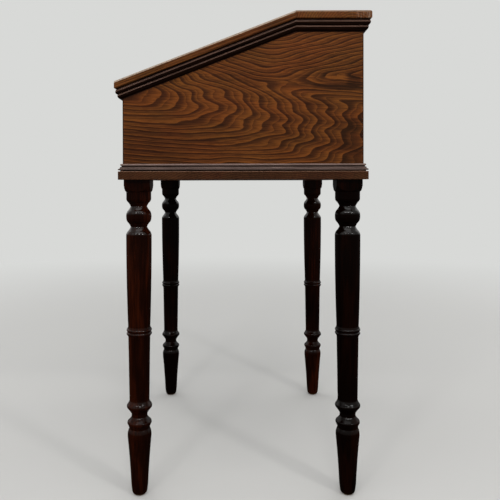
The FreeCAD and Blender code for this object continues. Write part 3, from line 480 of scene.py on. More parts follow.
        # Stain takes redder in some places and more yellow in others.
        tint = add(self.tree, "ValToRGB", (self.streaks(self.blush_mm),), stops=(
            (0.36, (1.0, 0.90, 0.74, 1.0)), (0.62, (0.95, 1.0, 0.80, 1.0))))
        specks = add(self.tree, "MapRange", {"Value": pores, "From Min": 0.36, "From Max": 0.5,
                                             "To Min": self.pore_tone, "To Max": 1.0})
        stained = plain
        for layer in (tint, specks):
            stained = add(self.tree, "Mix", {"Factor": 1.0, "A": stained, "B": layer},
                          data_type="RGBA", blend_type="MULTIPLY")
        # Worn wood and a painted highlight along the upper edges.
        bare = add(self.tree, "Math", (self.wear_and_sheen(), fibres), operation="MULTIPLY")
        bare = add(self.tree, "MapRange", {"Value": bare, "From Min": self.wear_and_sheen_from,
                                           "From Max": self.wear_and_sheen_to})
        return add(self.tree, "Mix", {"Factor": bare, "A": stained,
                                      "B": linear(self.stain.wear_and_sheen)}, data_type="RGBA")

    def material(self) -> Material:
        """Finishes the material.

        Returns:
            The material.
        """
        pores = self.streaks(self.pore_mm)
        fibres = self.streaks(self.fibre_mm, detail=3.0)
        clouds = self.streaks(self.cloud_mm)
        tone, year = self.tone(fibres, clouds)
        relief = add(self.tree, "Math", (pores, 0.5, year), operation="MULTIPLY_ADD")
        bump = add(self.tree, "Bump", {"Height": relief, "Strength": self.relief_strength,
                                       "Distance": self.relief_mm * MM})
        low, high = (self.stain.roughness + off for off in self.gloss_spread)
        gloss = add(self.tree, "MapRange", {"Value": clouds, "From Min": 0.3, "From Max": 0.7,
                                            "To Min": low, "To Max": high})
        # Old wood is dull beneath, and all of its shine comes from a thin coat of wax.
        shader = add(self.tree, "BsdfPrincipled", {
            "Base Color": self.colour(tone, pores, fibres), "Roughness": self.bare_roughness,
            "Specular IOR Level": 0.0, "Normal": bump, "Coat Weight": self.stain.wax,
            "Coat Roughness": gloss, "Coat IOR": self.wax_ior, "Coat Normal": bump})
        add(self.tree, "OutputMaterial", {"Surface": shader})
        return self.finish


class MouldedOak(Oak):
    """Oak worked to a moulding, with highlights painted along the noses that its section marks."""

    def wear_and_sheen(self) -> Node:
        """Reads how strongly a highlight is painted on each place."""
        painted_highlight = add(self.tree, "Attribute", attribute_name="painted_highlight")
        return add(self.tree, "SeparateXYZ", (painted_highlight.outputs["Vector"],))


class KnockedOak(Oak):
    """The flat top, whose end grain is knocked pale towards its back corners."""

    knocked_from_mm = 245.0
    knocked_to_mm = 300.0
    knock_mm = (50.0, 2.6, 25.0)
    fewest_knocks = 0.47
    most_knocks = 0.7
    wear_and_sheen_share = 0.5

    def wear_and_sheen(self) -> Node:
        """Adds knocks to the eased edges, whose wear and painted highlight are half as strong here
        as on the other boards.

        Returns:
            A node that is one where the wood is knocked bare, and where wear and highlight are
            painted on the edges.
        """
        # The edges' wear and painted highlight, at half strength.
        rubbed = add(self.tree, "Math", (super().wear_and_sheen(), self.wear_and_sheen_share), operation="MULTIPLY")
        place = desk_place(self.tree)
        near = add(self.tree, "MapRange", {
            "Value": add(self.tree, "SeparateXYZ", (place,)).outputs[1],
            "From Min": self.knocked_from_mm, "From Max": self.knocked_to_mm})
        scaled = add(self.tree, "VectorMath", (place, self.knock_mm), operation="DIVIDE")
        knocks = add(self.tree, "TexNoise", {"Vector": scaled, "Scale": 1.0, "Detail": 2.0})
        knocks = add(self.tree, "MapRange", {"Value": knocks, "From Min": self.fewest_knocks,
                                             "From Max": self.most_knocks})
        knocked = add(self.tree, "Math", (near, knocks), operation="MULTIPLY")
        return add(self.tree, "Math", (rubbed, knocked), operation="MAXIMUM")


@dataclass(frozen=True)
class Patch:
    """A lighter or darker place on an end panel, such as the wood beside a knot, or painted shade.

    It is an ellipse that goes right through the board. Its centre and size are in millimetres
    along the desk's depth and height, and its frayed edge is in parts of its size.
    """

    centre: Point
    size: Point
    tone: float
    turn_deg: float = 0.0
    fray: float = 1.6
    inner: float = 1.3
    outer: float = 2.0

    def add_to(self, tree: NodeTree, tone: Node, ragged: Node) -> Node:
        """Adds the patch to a tone.

        Args:
            tree: the material's node tree.
            tone: the tone so far.
            ragged: a pattern that frays the patch's edge.

        Returns:
            The new tone.
        """
        own = add(tree, "Mapping", {
            "Vector": desk_place(tree), "Location": (0.0, *self.centre),
            "Rotation": (math.radians(self.turn_deg), 0.0, 0.0),
            "Scale": (THROUGH_MM, *self.size)}, vector_type="TEXTURE")
        distance = add(tree, "VectorMath", (own,), operation="LENGTH")
        frayed = add(tree, "Math", (ragged, self.fray, distance), operation="MULTIPLY_ADD")
        inside = add(tree, "MapRange", {"Value": frayed, "From Min": self.outer,
                                        "From Max": self.inner}, interpolation_type="SMOOTHSTEP")
        return add(tree, "Math", (inside, self.tone, tone), operation="MULTIPLY_ADD")


@dataclass(frozen=True)
class Tongues:
    """One family of nested growth lines on an end panel, in millimetres.

    Along the axis the lines cross it as blunt tips that crowd together with distance. On both
    sides of the tips they run off as nearly straight arms.
    """

    centre: Point
    axis_deg: float
    tip_mm: float
    tip_power: float
    arm_mm: float
    half_mm: float
    flare: float
    first: float
    rounding: float = 1.3

    def count(self, tree: NodeTree, panel: Node) -> Node:
        """Counts this family's lines.

        Args:
            tree: the material's node tree.
            panel: the point in the desk's frame, in millimetres.

        Returns:
            The number of lines.
        """
        own = add(tree, "Mapping", {
            "Vector": panel, "Location": (0.0, *self.centre),
            "Rotation": (math.radians(self.axis_deg), 0.0, 0.0)}, vector_type="TEXTURE")
        parts = add(tree, "SeparateXYZ", (own,)).outputs
        ahead = add(tree, "Math", (parts[1], 0.0), operation="MAXIMUM")
        share = add(tree, "Math", (ahead, self.tip_mm), operation="DIVIDE")
        tips = add(tree, "Math", (share, self.tip_power), operation="POWER")
        aside = add(tree, "Math", (parts[2],), operation="ABSOLUTE")
        half = add(tree, "Math", (ahead, self.flare, self.half_mm), operation="MULTIPLY_ADD")
        beyond = add(tree, "Math", (aside, half), operation="SUBTRACT")
        beyond = add(tree, "Math", (beyond, self.arm_mm), operation="DIVIDE")
        square = add(tree, "Math", (beyond, beyond, self.rounding ** 2), operation="MULTIPLY_ADD")
        root = add(tree, "Math", (square,), operation="SQRT")
        both = add(tree, "Math", (beyond, root), operation="ADD")
        arms = add(tree, "Math", (both, 0.5, tips), operation="MULTIPLY_ADD")
        return add(tree, "Math", (arms, self.first), operation="ADD")


@dataclass(frozen=True)
class Ripple:
    """An unevenness of the growth lines: how long its swings are, and how far it moves them."""

    size_mm: Triple
    reach: float
    seed: float

    def add_to(self, tree: NodeTree, panel: Node, moved: Node, log: Log) -> Node:
        """Moves a number of lines, or a place in millimetres.

        Args:
            tree: the material's node tree.
            panel: the point in the desk's frame, in millimetres.
            moved: what is moved.
            log: the board's log, whose seed tells its ripples from another board's.

        Returns:
            The moved number or place.
        """
        swing = pattern(tree, panel, self.size_mm, log.seed + self.seed, detail=1.0)
        return add(tree, "Math", (swing, self.reach, moved), operation="MULTIPLY_ADD")


class FiguredOak(Oak):
    """The show board of the desk's end, flat-sawn across two swellings of the trunk."""

    low_family = Tongues(centre=(-323.0, 993.0), axis_deg=-11.4, tip_mm=52.0, tip_power=1.11,
                         arm_mm=10.0, half_mm=12.0, flare=0.13, first=-2.98, rounding=4.2)
    high_family = Tongues(centre=(300.0, 1026.0), axis_deg=185.0, tip_mm=62.0, tip_power=1.0,
                          arm_mm=10.0, half_mm=6.0, flare=0.0, first=5.85)
    # How many lines the two families take to join.
    blend = 4.5
    ripples = (Ripple((100.0, 111.0, 91.0), 1.2, seed=1.2),
               Ripple((50.0, 111.0, 33.3), 0.6, seed=0.6),
               Ripple((50.0, 50.0, 11.76), 0.3, seed=0.3))
    # Waves up the board give each tip two lobes.
    lobe_mm = 44.0
    lobe_height = 939.0
    lobe_fall = 0.106
    lobe_depth = 0.21
    lobe_drift = Ripple((100.0, 167.0, 200.0), 1.4 * lobe_mm, seed=6.0)
    # A flame of light wood, the smoky wood round it, painted shade over the low front of the board,
    # and a broad darker part of the board.
    patches = (Patch((222.0, 1016.0), (36.0, 9.0), 0.5, 4.0),
               Patch((266.0, 1012.0), (20.0, 20.0), -0.3),
               Patch((226.0, 995.0), (75.0, 8.0), -0.42, -3.0),
               # Painted shade: the low front of the board is darker, where less light falls.
               Patch((-190.0, 850.0), (170.0, 60.0), -0.16),
               Patch((285.0, 860.0), (60.0, 70.0), -0.3))
    patch_edge_mm = (50.0, 50.0, 9.09)
    patch_edge_seed = 9.0
    # Painted shade darkens the wood along the upright arrises.
    shaded_arris_mm = 2.8
    arris_shade = -0.8

    def rings(self) -> Node:
        """Counts the lines of both families, joined where they meet.

        Returns:
            A node that gives the number of lines, whole and part.
        """
        tree, panel = self.tree, desk_place(self.tree)
        families = (self.low_family.count(tree, panel), self.high_family.count(tree, panel))
        lines = add(tree, "Math", (*families, self.blend), operation="SMOOTH_MIN")
        for ripple in self.ripples:
            lines = ripple.add_to(tree, panel, lines, self.log)
        parts = add(tree, "SeparateXYZ", (panel,)).outputs
        height = add(tree, "Math", (parts[1], self.lobe_fall, parts[2]), operation="MULTIPLY_ADD")
        height = add(tree, "Math", (height, self.lobe_height), operation="SUBTRACT")
        height = self.lobe_drift.add_to(tree, panel, height, self.log)
        # The drift swings about its middle, so that half of it is taken off again.
        phase = add(tree, "Math", (height, 2 * math.pi / self.lobe_mm,
                                   -math.pi * self.lobe_drift.reach / self.lobe_mm),
                    operation="MULTIPLY_ADD")
        lobes = add(tree, "Math", (phase,), operation="SINE")
        return add(tree, "Math", (lobes, self.lobe_depth, lines), operation="MULTIPLY_ADD")

    def marks(self, tone: Node) -> Node:
        """Adds the patches, and painted shade along the upright arrises.

        Args:
            tone: the tone so far.

        Returns:
            The new tone.
        """
        panel = desk_place(self.tree)
        ragged = pattern(self.tree, panel, self.patch_edge_mm,
                         self.log.seed + self.patch_edge_seed, detail=1.0)
        for patch in self.patches:
            tone = patch.add_to(self.tree, tone, ragged)
        depth = add(self.tree, "SeparateXYZ", (panel,)).outputs[1]
        aside = add(self.tree, "Math", (depth,), operation="ABSOLUTE")
        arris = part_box("end_panel_right")[1].y / MM
        # Painted shade along the upright arrises, darkest at the edge.
        dark = add(self.tree, "MapRange", {
            "Value": aside, "From Min": arris - self.shaded_arris_mm,
            "From Max": arris - 0.5 * self.shaded_arris_mm, "To Min": 0.0, "To Max": self.arris_shade})
        return add(self.tree, "Math", (tone, dark), operation="ADD")


# ---- Other finishes -------------------------------------------------------------------------


@dataclass(frozen=True)
class TurnedWood:
    """Turned hardwood, stained almost black, rubbed red-brown in places and French polished.

    The duster reaches what faces up, and keeps it bright, least of all near the floor. The
    upright faces have gone dull, and the toes are scuffed bare.
    """

    name: str
    seed: float
    warmth: float
    shadow: str = "060100"
    body: str = "170501"
    rubbed: str = "3A1405"
    bare: str = "A07C58"
    scuff_mm: float = 5.0

    # Both are drawn out along the leg. Real streaks are finer; these show at this distance.
    streak_mm = (4.55, 4.55, 83.3)
    patch_mm = (55.6, 55.6, 222.0)
    patch_share = 1.6
    patch_seed = 3.7
    # The sums of both that come out darkest and most rubbed, and what warmth takes off them.
    darkest = 1.35
    most_rubbed = 2.25
    warmth_share = 0.55
    dullest_height_mm = 150.0
    brightest_height_mm = 600.0
    dullest = 0.2
    brightest = 0.55
    # The normal's height where a face is upright, and where the duster reaches all of it.
    upright = 0.1
    facing_up = 0.35
    upright_polish = 0.04
    sharpest_gloss = 0.1
    softest_gloss = 0.16
    ripple_mm = 1.0
    ripple_strength = 0.1
    bare_roughness = 0.6
    polish_ior = 1.5

    def material(self) -> Material:
        """Builds the node material.

        Returns:
            The material.
        """
        material, tree = new_material(self.name)
        place = desk_place(tree)
        height = add(tree, "SeparateXYZ", (place,)).outputs[2]
        streaks = pattern(tree, place, self.streak_mm, self.seed, 4.0, 0.6)
        patches = pattern(tree, place, self.patch_mm, self.seed + self.patch_seed)
        tone = add(tree, "Math", (patches, self.patch_share, streaks), operation="MULTIPLY_ADD")
        warmer = self.warmth_share * self.warmth
        tone = add(tree, "MapRange", {"Value": tone, "From Min": self.darkest - warmer,
                                      "From Max": self.most_rubbed - warmer})
        colour = add(tree, "ValToRGB", (tone,), stops=(
            (0.0, linear(self.shadow)), (0.5, linear(self.body)), (1.0, linear(self.rubbed))))
        scuffed = add(tree, "MapRange", {"Value": height, "From Min": self.scuff_mm,
                                         "From Max": 0.5 * self.scuff_mm})
        scuffed = add(tree, "Math", (scuffed, streaks), operation="MULTIPLY")
        colour = add(tree, "Mix", {"Factor": scuffed, "A": colour, "B": linear(self.bare)},
                     data_type="RGBA")
        dusted = add(tree, "MapRange", {
            "Value": height, "From Min": self.dullest_height_mm,
            "From Max": self.brightest_height_mm, "To Min": self.dullest,
            "To Max": self.brightest})
        facing = add(tree, "SeparateXYZ", (add(tree, "TexCoord").outputs["Normal"],)).outputs[2]
        polish = add(tree, "MapRange", {
            "Value": facing, "From Min": self.upright, "From Max": self.facing_up,
            "To Min": self.upright_polish, "To Max": dusted})
        gloss = add(tree, "MapRange", {
            "Value": patches, "From Min": 0.3, "From Max": 0.7, "To Min": self.sharpest_gloss,
            "To Max": self.softest_gloss})
        bump = add(tree, "Bump", {"Height": patches, "Strength": self.ripple_strength,
                                  "Distance": self.ripple_mm * MM})
        shader = add(tree, "BsdfPrincipled", {
            "Base Color": colour, "Roughness": self.bare_roughness, "Specular IOR Level": 0.0,
            "Coat Weight": polish, "Coat Roughness": gloss, "Coat IOR": self.polish_ior,
            "Coat Normal": bump})
        add(tree, "OutputMaterial", {"Surface": shader})
        return material


@dataclass(frozen=True)
class CabinetMetal:
    """Old cast or rolled furniture metal: dulled in blotches, brighter where it rubs."""

    name: str
    clean: str
    dull: str
    roughness: float

    blotch_mm = 11.1
    # The grit left by casting and rolling is finer; it is drawn at this size so that it shows.
    grit_mm = 1.11
    grit_height_mm = 0.1
    dull_roughness = 0.15

    def material(self) -> Material:
        """Builds the node material.

        Returns:
            The material.
        """
        material, tree = new_material(self.name)
        where = add(tree, "TexCoord").outputs["Object"]
        blotches = add(tree, "TexNoise", {"Vector": where, "Scale": 1 / (self.blotch_mm * MM),
                                          "Detail": 5.0, "Roughness": 0.65})
        grit = add(tree, "TexNoise", {"Vector": where, "Scale": 1 / (self.grit_mm * MM),
                                      "Detail": 3.0})
        colour = add(tree, "ValToRGB", (blotches,), stops=(
            (0.35, linear(self.dull)), (0.65, linear(self.clean))))
        gloss = add(tree, "MapRange", {
            "Value": blotches, "From Min": 0.35, "From Max": 0.65,
            "To Min": self.roughness + self.dull_roughness, "To Max": self.roughness})
        bump = add(tree, "Bump", {"Height": grit, "Strength": 0.1,
                                  "Distance": self.grit_height_mm * MM})
        shader = add(tree, "BsdfPrincipled", {"Base Color": colour, "Metallic": 1.0,
                                              "Roughness": gloss, "Normal": bump})
        add(tree, "OutputMaterial", {"Surface": shader})
        return material


# Each worn colour also paints the highlight on upper edges, and on moulding noses.
SHOW_STAIN = Stain(dark="2C170B", middle="4A2814", light="703F1C", wear_and_sheen="6E4A34")
BOARD_STAIN = Stain(dark="24110A", middle="472710", light="6E3F1B", wear_and_sheen="7A5A45", contrast=0.8,
                    roughness=0.35)
EDGE_STAIN = Stain(dark="2A160B", middle="4F2D18", light="70421F", wear_and_sheen="988676", contrast=0.6,
                   roughness=0.32)
TOP_STAIN = Stain(dark="2A160B", middle="4F2D18", light="70421F", wear_and_sheen="8C7664", contrast=0.8,
                  roughness=0.32)
BASE_STAIN = Stain(dark="1A0D08", middle="351D13", light="50301F", wear_and_sheen="7A5A48", contrast=0.6,
                   roughness=0.35)
MOULD_STAIN = Stain(dark="040100", middle="0E0402", light="201008", wear_and_sheen="6C5246", contrast=0.5,
                    roughness=0.2, wax=0.06)
FOOT_MOULD_STAIN = Stain(dark="040100", middle="0E0402", light="22100A", wear_and_sheen="7A665E",
                         contrast=0.5, roughness=0.2, wax=0.06)
BARE_STAIN = Stain(dark="8A6238", middle="A87D4C", light="BE9460", wear_and_sheen="B08858", contrast=0.7,
                   roughness=0.7, wax=0.0)


# ---- Turned legs ----------------------------------------------------------------------------

# Each leg has its own depth of stain: how far its wood shows red-brown.
CORNERS = {"front_right": 1.1, "back_right": 0.0, "front_left": 0.1, "back_left": 0.9}


@dataclass
class TurnedLeg:
    """One leg: square block, drum, ball, tapering column with a double bead, collars and foot.

    Sizes are in millimetres, heights from the floor. A collar is the height of the slope above
    its rim, of the rim, and of the slope below it, and the rim's radius.
    """

    corner: str
    finish: TurnedWood
    length: float = 772.0
    spigot_top: float = 823.7
    spigot_radius: float = 12.5
    block: float = 63.0
    block_corner_margin: float = 0.5
    block_height: float = 30.0
    pommel_height: float = 19.0
    pommel_fullness: float = 1.5
    drum_height: float = 23.8
    drum_radius: float = 30.2
    drum_edge: float = 7.4
    drum_edge_fullness: float = 0.8
    cone_height: float = 11.0
    cone_radius: float = 27.0
    cone_hollow: float = 0.7
    neck_radius: float = 19.9
    ball_height: float = 27.8
    ball_radius: float = 30.0
    ball_fullness: float = 0.7
    ball_edge: float = 6.5
    ball_edge_fullness: float = 0.45
    shoulder_height: float = 11.0
    shoulder_fullness: float = 1.0
    column_radius: float = 30.9
    column_fullness: float = 1.0
    ring_height: float = 400.0
    ring_neck: float = 27.0
    ring_edge: float = 3.6
    bead_pitch: float = 8.6
    bead_radius: float = 30.8
    bead_valley: float = 28.6
    bead_half: float = 3.5
    lower_top_radius: float = 26.6
    lower_foot_radius: float = 24.2
    upper_collar: tuple[float, ...] = (10.0, 8.0, 14.5, 30.8)
    waist_height: float = 7.5
    waist_radius: float = 19.4
    lower_collar: tuple[float, ...] = (10.5, 8.0, 10.0, 29.6)
    collar_drop: float = 1.2
    collar_fullness: float = 0.35
    collar_hollow: float = 0.55
    ankle_radius: float = 25.0
    foot_length: float = 163.0
    foot_shoulder: float = 10.0
    foot_barrel: float = 13.5
    foot_radius: float = 28.6
    foot_fullness: float = 0.4
    foot_hollow: float = 0.7
    toe_taper: float = 15.0
    toe_round: float = 9.0
    toe_radius: float = 20.4
    toe_waist: float = 18.4
    toe_end: float = 11.0
    toe_fullness: float = 1.5
    round_steps: int = 96
    unevenness: float = 0.12
    unevenness_round: float = 1.3
    unevenness_down: float = 45.0
    pen: Pen = field(init=False)

    def down(self, drop: float, radius: float, swell: float = 0.0) -> None:
        """Cuts down by drop to a new radius, bowed out by swell."""
        self.pen.to((radius, self.pen.points[-1][1] - drop), swell)

    def cones(self) -> None:
        """Cuts a sharp neck between two hollow cones."""
        self.down(self.cone_height, self.neck_radius, -self.cone_hollow)
        self.down(self.cone_height, self.cone_radius, -self.cone_hollow)

    def collar(self, slope: float, rim: float, under: float, radius: float, after: float) -> None:
        """Cuts a collar: slope out, rounded rim, slope in.

        Args:
            slope: height of the slope above the rim.
            rim: height of the rim.
            under: height of the slope below the rim.
            radius: radius of the rim.
            after: radius below the collar.
        """
        edge = radius - self.collar_drop
        self.down(slope, edge, -self.collar_hollow)
        self.down(rim / 2, radius, self.collar_fullness)
        self.down(rim / 2, edge, self.collar_fullness)
        self.down(under, after, -self.collar_hollow)

    def ball(self) -> None:
        """Cuts the flattened ball, rounded in to the cones above and below it."""
        self.down(self.ball_edge, self.ball_radius, self.ball_edge_fullness)
        self.down(self.ball_height - 2 * self.ball_edge, self.ball_radius, self.ball_fullness)
        self.down(self.ball_edge, self.cone_radius, self.ball_edge_fullness)

    def beads(self) -> None:
        """Cuts the double bead round the column."""
        self.down(self.ring_edge, self.bead_valley)
        fillet = self.bead_pitch / 2 - self.bead_half
        for _ in range(2):
            self.down(fillet, self.bead_valley)
            self.down(2 * self.bead_half, self.bead_valley, self.bead_radius - self.bead_valley)
            self.down(fillet, self.bead_valley)
        self.down(self.ring_edge, self.lower_top_radius)

    def outline(self) -> list[Point]:
        """Draws the turned part below the block.

        Returns:
            Radius and height of each point, from the top down.
        """
        self.pen = Pen((self.drum_radius, self.length - self.block_height))
        self.down(self.drum_height - self.drum_edge, self.drum_radius)
        self.down(self.drum_edge, self.cone_radius, self.drum_edge_fullness)
        self.cones()
        self.ball()
        self.cones()
        self.down(self.shoulder_height, self.column_radius, self.shoulder_fullness)
        ring_top = self.ring_height + self.bead_pitch + self.ring_edge
        self.down(self.pen.points[-1][1] - ring_top, self.ring_neck, self.column_fullness)
        self.beads()
        collars = sum(self.upper_collar[:3]) + self.waist_height + sum(self.lower_collar[:3])
        self.down(self.pen.points[-1][1] - self.foot_length - collars, self.lower_foot_radius)
        self.collar(*self.upper_collar, self.waist_radius)
        self.down(self.waist_height, self.waist_radius)
        self.collar(*self.lower_collar, self.ankle_radius)
        self.down(self.foot_shoulder, self.foot_radius, self.foot_fullness)
        self.down(self.foot_barrel, self.foot_radius, self.foot_fullness)
        self.down(self.pen.points[-1][1] - self.toe_taper - self.toe_round, self.toe_radius,
                  -self.foot_hollow)
        self.down(self.toe_taper, self.toe_waist)
        self.down(self.toe_round, self.toe_end, self.toe_fullness)
        return self.pen.points

    def block_rows(self) -> list[Point]:
        """Draws the block, whose lower corners are turned in to the drum.

        Returns:
            The radius that the turning leaves, and the height, of each point from the top down.
        """
        corner = self.block / 2 * math.sqrt(2) + self.block_corner_margin
        foot = self.length - self.block_height
        pen = Pen((corner, foot + self.pommel_height), finest_mm=0.8)
        pen.to((self.drum_radius, foot), self.pommel_fullness)
        return [(corner, self.length)] + pen.points[:-1]

    def row(self, radius: float, height: float, square: bool) -> list[Vector]:
        """Gives one ring of points.

        Args:
            radius: the turned radius there.
            height: the height from the floor.
            square: whether the block's flat sides cut it.

        Returns:
            The points, about the leg's own axis.
        """
        points = []
        for place in range(self.round_steps):
            angle = 2 * math.pi * (place + 0.5) / self.round_steps
            direction = Vector((math.cos(angle), math.sin(angle), 0.0))
            reach = radius
            if square:
                flat = self.block / 2 / max(abs(direction.x), abs(direction.y))
                reach = min(flat, radius)
            elif self.spigot_radius < radius:
                spot = direction * self.unevenness_round
                spot.z = height / self.unevenness_down + self.finish.seed * 9
                reach += self.unevenness * noise.noise(spot)
            points.append(direction * reach + Vector((0.0, 0.0, height)))
        return points

    def build(self) -> Object:
        """Builds the leg and puts it in place of its CAD node.

        Returns:
            The leg.
        """
        node_name = "leg_" + self.corner
        low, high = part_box(node_name)
        axis = (low + high) / 2 / MM
        axis.z = 0.0
        rows = [self.row(self.spigot_radius, self.spigot_top, False),
                self.row(self.spigot_radius, self.length, False)]
        rows += [self.row(radius, height, True) for radius, height in self.block_rows()]
        rows += [self.row(radius, height, False) for radius, height in self.outline()]
        vertices = [axis + point for ring in rows for point in ring]
        count = self.round_steps
        faces = skin(len(rows), count)
        faces.append(list(range(count)))
        faces.append(list(range(len(vertices) - 1, len(vertices) - count - 1, -1)))
        leg = make_piece("turned_" + node_name, vertices, faces, self.finish.material())
        ease(leg, 0.35)
        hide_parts(node_name)
        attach(leg, "desk")
        LOG.info("turned %s: %d faces", leg.name, len(faces))
        return leg


# ---- Mouldings ------------------------------------------------------------------------------


class Run(Enum):
    """A length of moulding on the box."""

    FRONT = "front"
    BACK = "back"
    SLOPE_RIGHT = "slope_right"
    SLOPE_LEFT = "slope_left"
    FLAT_RIGHT = "flat_right"
    FLAT_LEFT = "flat_left"
    RIGHT = "right"
    LEFT = "left"


@dataclass
class BoxShape:
    """Where the mouldings run, in millimetres, read from the frame."""

    half_width: float
    half_depth: float
    base_top: float
    seat: float
    ridge: float
    fall: float

    @classmethod
    def from_frame(cls) -> "BoxShape":
        """Reads the box's sizes from its CAD nodes.

        Returns:
            The box.
        """
        low, high = (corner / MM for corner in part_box("end_panel_right"))
        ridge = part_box("top_board")[0].y / MM
        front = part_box("front_board")[1] / MM
        fall = (high.z - front.z) / (ridge - front.y)
        return cls(half_width=high.x, half_depth=high.y, base_top=low.z, seat=high.z,
                   ridge=ridge, fall=fall)

    def seat_at(self, depth: float) -> float:
        """Gives the height of the rim under the top at a depth."""
        return self.seat - max(0.0, self.ridge - depth) * self.fall

    def ends(self, run: Run, reach: float) -> tuple[Vector, Vector]:
        """Finds where a point of the section starts and ends along a run.

        Args:
            run: the length of moulding.
            reach: how far the point stands out from the box.

        Returns:
            Both ends, at the height of the box's rim there.
        """
        wide = self.half_width + reach
        deep = self.half_depth + reach
        side = -1.0 if run in (Run.SLOPE_LEFT, Run.FLAT_LEFT, Run.LEFT) else 1.0
        low = self.seat_at(-deep)
        places = {
            Run.FRONT: ((-wide, -deep, low), (wide, -deep, low)),
            Run.BACK: ((wide, deep, self.seat), (-wide, deep, self.seat)),
            Run.SLOPE_RIGHT: ((side * wide, -deep, low), (side * wide, self.ridge, self.seat)),
            Run.FLAT_RIGHT: ((side * wide, self.ridge, self.seat), (side * wide, deep, self.seat)),
            Run.RIGHT: ((side * wide, -deep, self.base_top), (side * wide, deep, self.base_top)),
        }
        twin = {Run.SLOPE_LEFT: Run.SLOPE_RIGHT, Run.FLAT_LEFT: Run.FLAT_RIGHT, Run.LEFT: Run.RIGHT}
        start, end = places[twin.get(run, run)]
        return Vector(start), Vector(end)


@dataclass
class Moulding:
    """A moulding worked to one section and mitred round the box."""

    box: BoxShape
    stain: Stain
    pith_mm: Triple = (40.0, -35.0, 930.0)
    ring_mm: float = 5.0
    sharp_deg: float = 28.0
    stations: int = 24
    # How deep the worn hollows are, how far they run along and across, and where they start.
    hollow: float = 0.15
    hollow_along: float = 70.0
    hollow_across: float = 9.0
    hollow_from: float = 2.0

    def section(self) -> Pen:
        """Draws the section: distance out, and height above its own base line."""
        raise NotImplementedError

    def base_height(self, rim: float) -> float:
        """Gives the height of the section's base line where the rim has this height."""
        raise NotImplementedError

    def grain(self, run: Run) -> Grain:
        """Tells which way a run's grain goes.

        Args:
            run: the length of moulding.

        Returns:
            The direction.
        """
        if run in (Run.FRONT, Run.BACK):
            return Grain.ALONG_WIDTH
        if run in (Run.SLOPE_RIGHT, Run.SLOPE_LEFT):
            return Grain.UP_THE_SLOPE
        return Grain.ALONG_DEPTH

    def build(self, run: Run, node_name: str, seed: float) -> Object:
        """Builds one length and puts it in place of its CAD node.

        Args:
            run: which length.
            node_name: the CAD node.
            seed: tells its wood from the others.

        Returns:
            The piece.
        """
        pen = self.section()
        vertices = []
        for place in range(self.stations + 1):
            for reach, height in pen.points:
                start, end = self.box.ends(run, reach)
                point = start.lerp(end, place / self.stations)
                point.z = self.base_height(point.z) + height
                outward = Vector((point.x, point.y, 0.0))
                if 0 < place < self.stations and reach > self.hollow_from:
                    spot = outward / self.hollow_along
                    spot.z = reach / self.hollow_across + seed
                    point -= outward.normalized() * self.hollow * max(0.0, noise.noise(spot))
                vertices.append(point)
        count = len(pen.points)
        faces = [face[::-1] for face in skin(self.stations + 1, count)]
        faces.append(list(range(count - 1, -1, -1)))
        faces.append([self.stations * count + step for step in range(count)])
        log = Log(self.grain(run), self.pith_mm, self.ring_mm, seed=seed)
        material = MouldedOak("oak_" + node_name, log, self.stain).material()
        piece = make_piece("moulded_" + node_name, vertices, faces, material, self.sharp_deg)
        # Each point of the section carries how strongly a highlight is painted on it.
        painted_highlight = piece.data.attributes.new("painted_highlight", "FLOAT", "POINT")
        painted_highlight.data.foreach_set("value", pen.painted_highlight * (self.stations + 1))
        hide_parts(node_name)
        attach(piece, "desk")
        LOG.info("worked %s", piece.name)
        return piece


@dataclass
class Cornice(Moulding):
    """Groove and two beads under the top, the lower bead set back."""

    height: float = 29.0
    projection: float = 14.2
    groove_height: float = 3.5
    groove_depth: float = 2.6
    upper_height: float = 11.4
    lower_projection: float = 10.0
    nose: float = 3.2
    face: float = 0.6
    quirk: float = 0.9
    fullness: float = 0.16
    foot_projection: float = 1.5
    foot_height: float = 1.4
    # How strongly highlights are painted on each bead's nose and face, and along the foot.
    nose_highlight: float = 0.4
    face_highlight: float = 1.0
    foot_highlight: float = 0.3

    def bead(self, pen: Pen, widest: float, foot: float, top: float, bottom: float) -> None:
        """Draws a bead: a round nose and face with a painted highlight, then a full curve in to its
        foot.

        Args:
            pen: the pen, at the bead's back.
            widest: how far the nose stands out.
            foot: how far the foot stands out.
            top: depth of the bead's top below the rim.
            bottom: depth of its foot.
        """
        pen.to((widest - self.nose, -top))
        pen.to((widest, -top - self.nose), self.nose * (1 - math.sqrt(0.5)), self.nose_highlight)
        pen.to((widest, -top - self.nose - self.face), painted_highlight=self.face_highlight)
        pen.to((foot, -bottom), self.fullness * (bottom - top))

    def section(self) -> Pen:
        """Draws the cornice's section, below the rim.

        Returns:
            The section.
        """
        groove = self.projection - self.groove_depth
        lower_top = self.groove_height + self.upper_height
        lower_bottom = self.height - self.foot_height
        pen = Pen((0.0, 0.0), finest_mm=0.7)
        pen.to((groove, 0.0))
        pen.to((groove, -self.groove_height))
        self.bead(pen, self.projection, self.lower_projection - self.quirk, self.groove_height,
                  lower_top)
        self.bead(pen, self.lower_projection, self.foot_projection + self.quirk, lower_top,
                  lower_bottom)
        pen.to((self.foot_projection, -lower_bottom))
        pen.to((self.foot_projection, -self.height), painted_highlight=self.foot_highlight)
        pen.to((0.0, -self.height))
        return pen

    def base_height(self, rim: float) -> float:
        """Hangs the cornice from the rim."""
        return rim


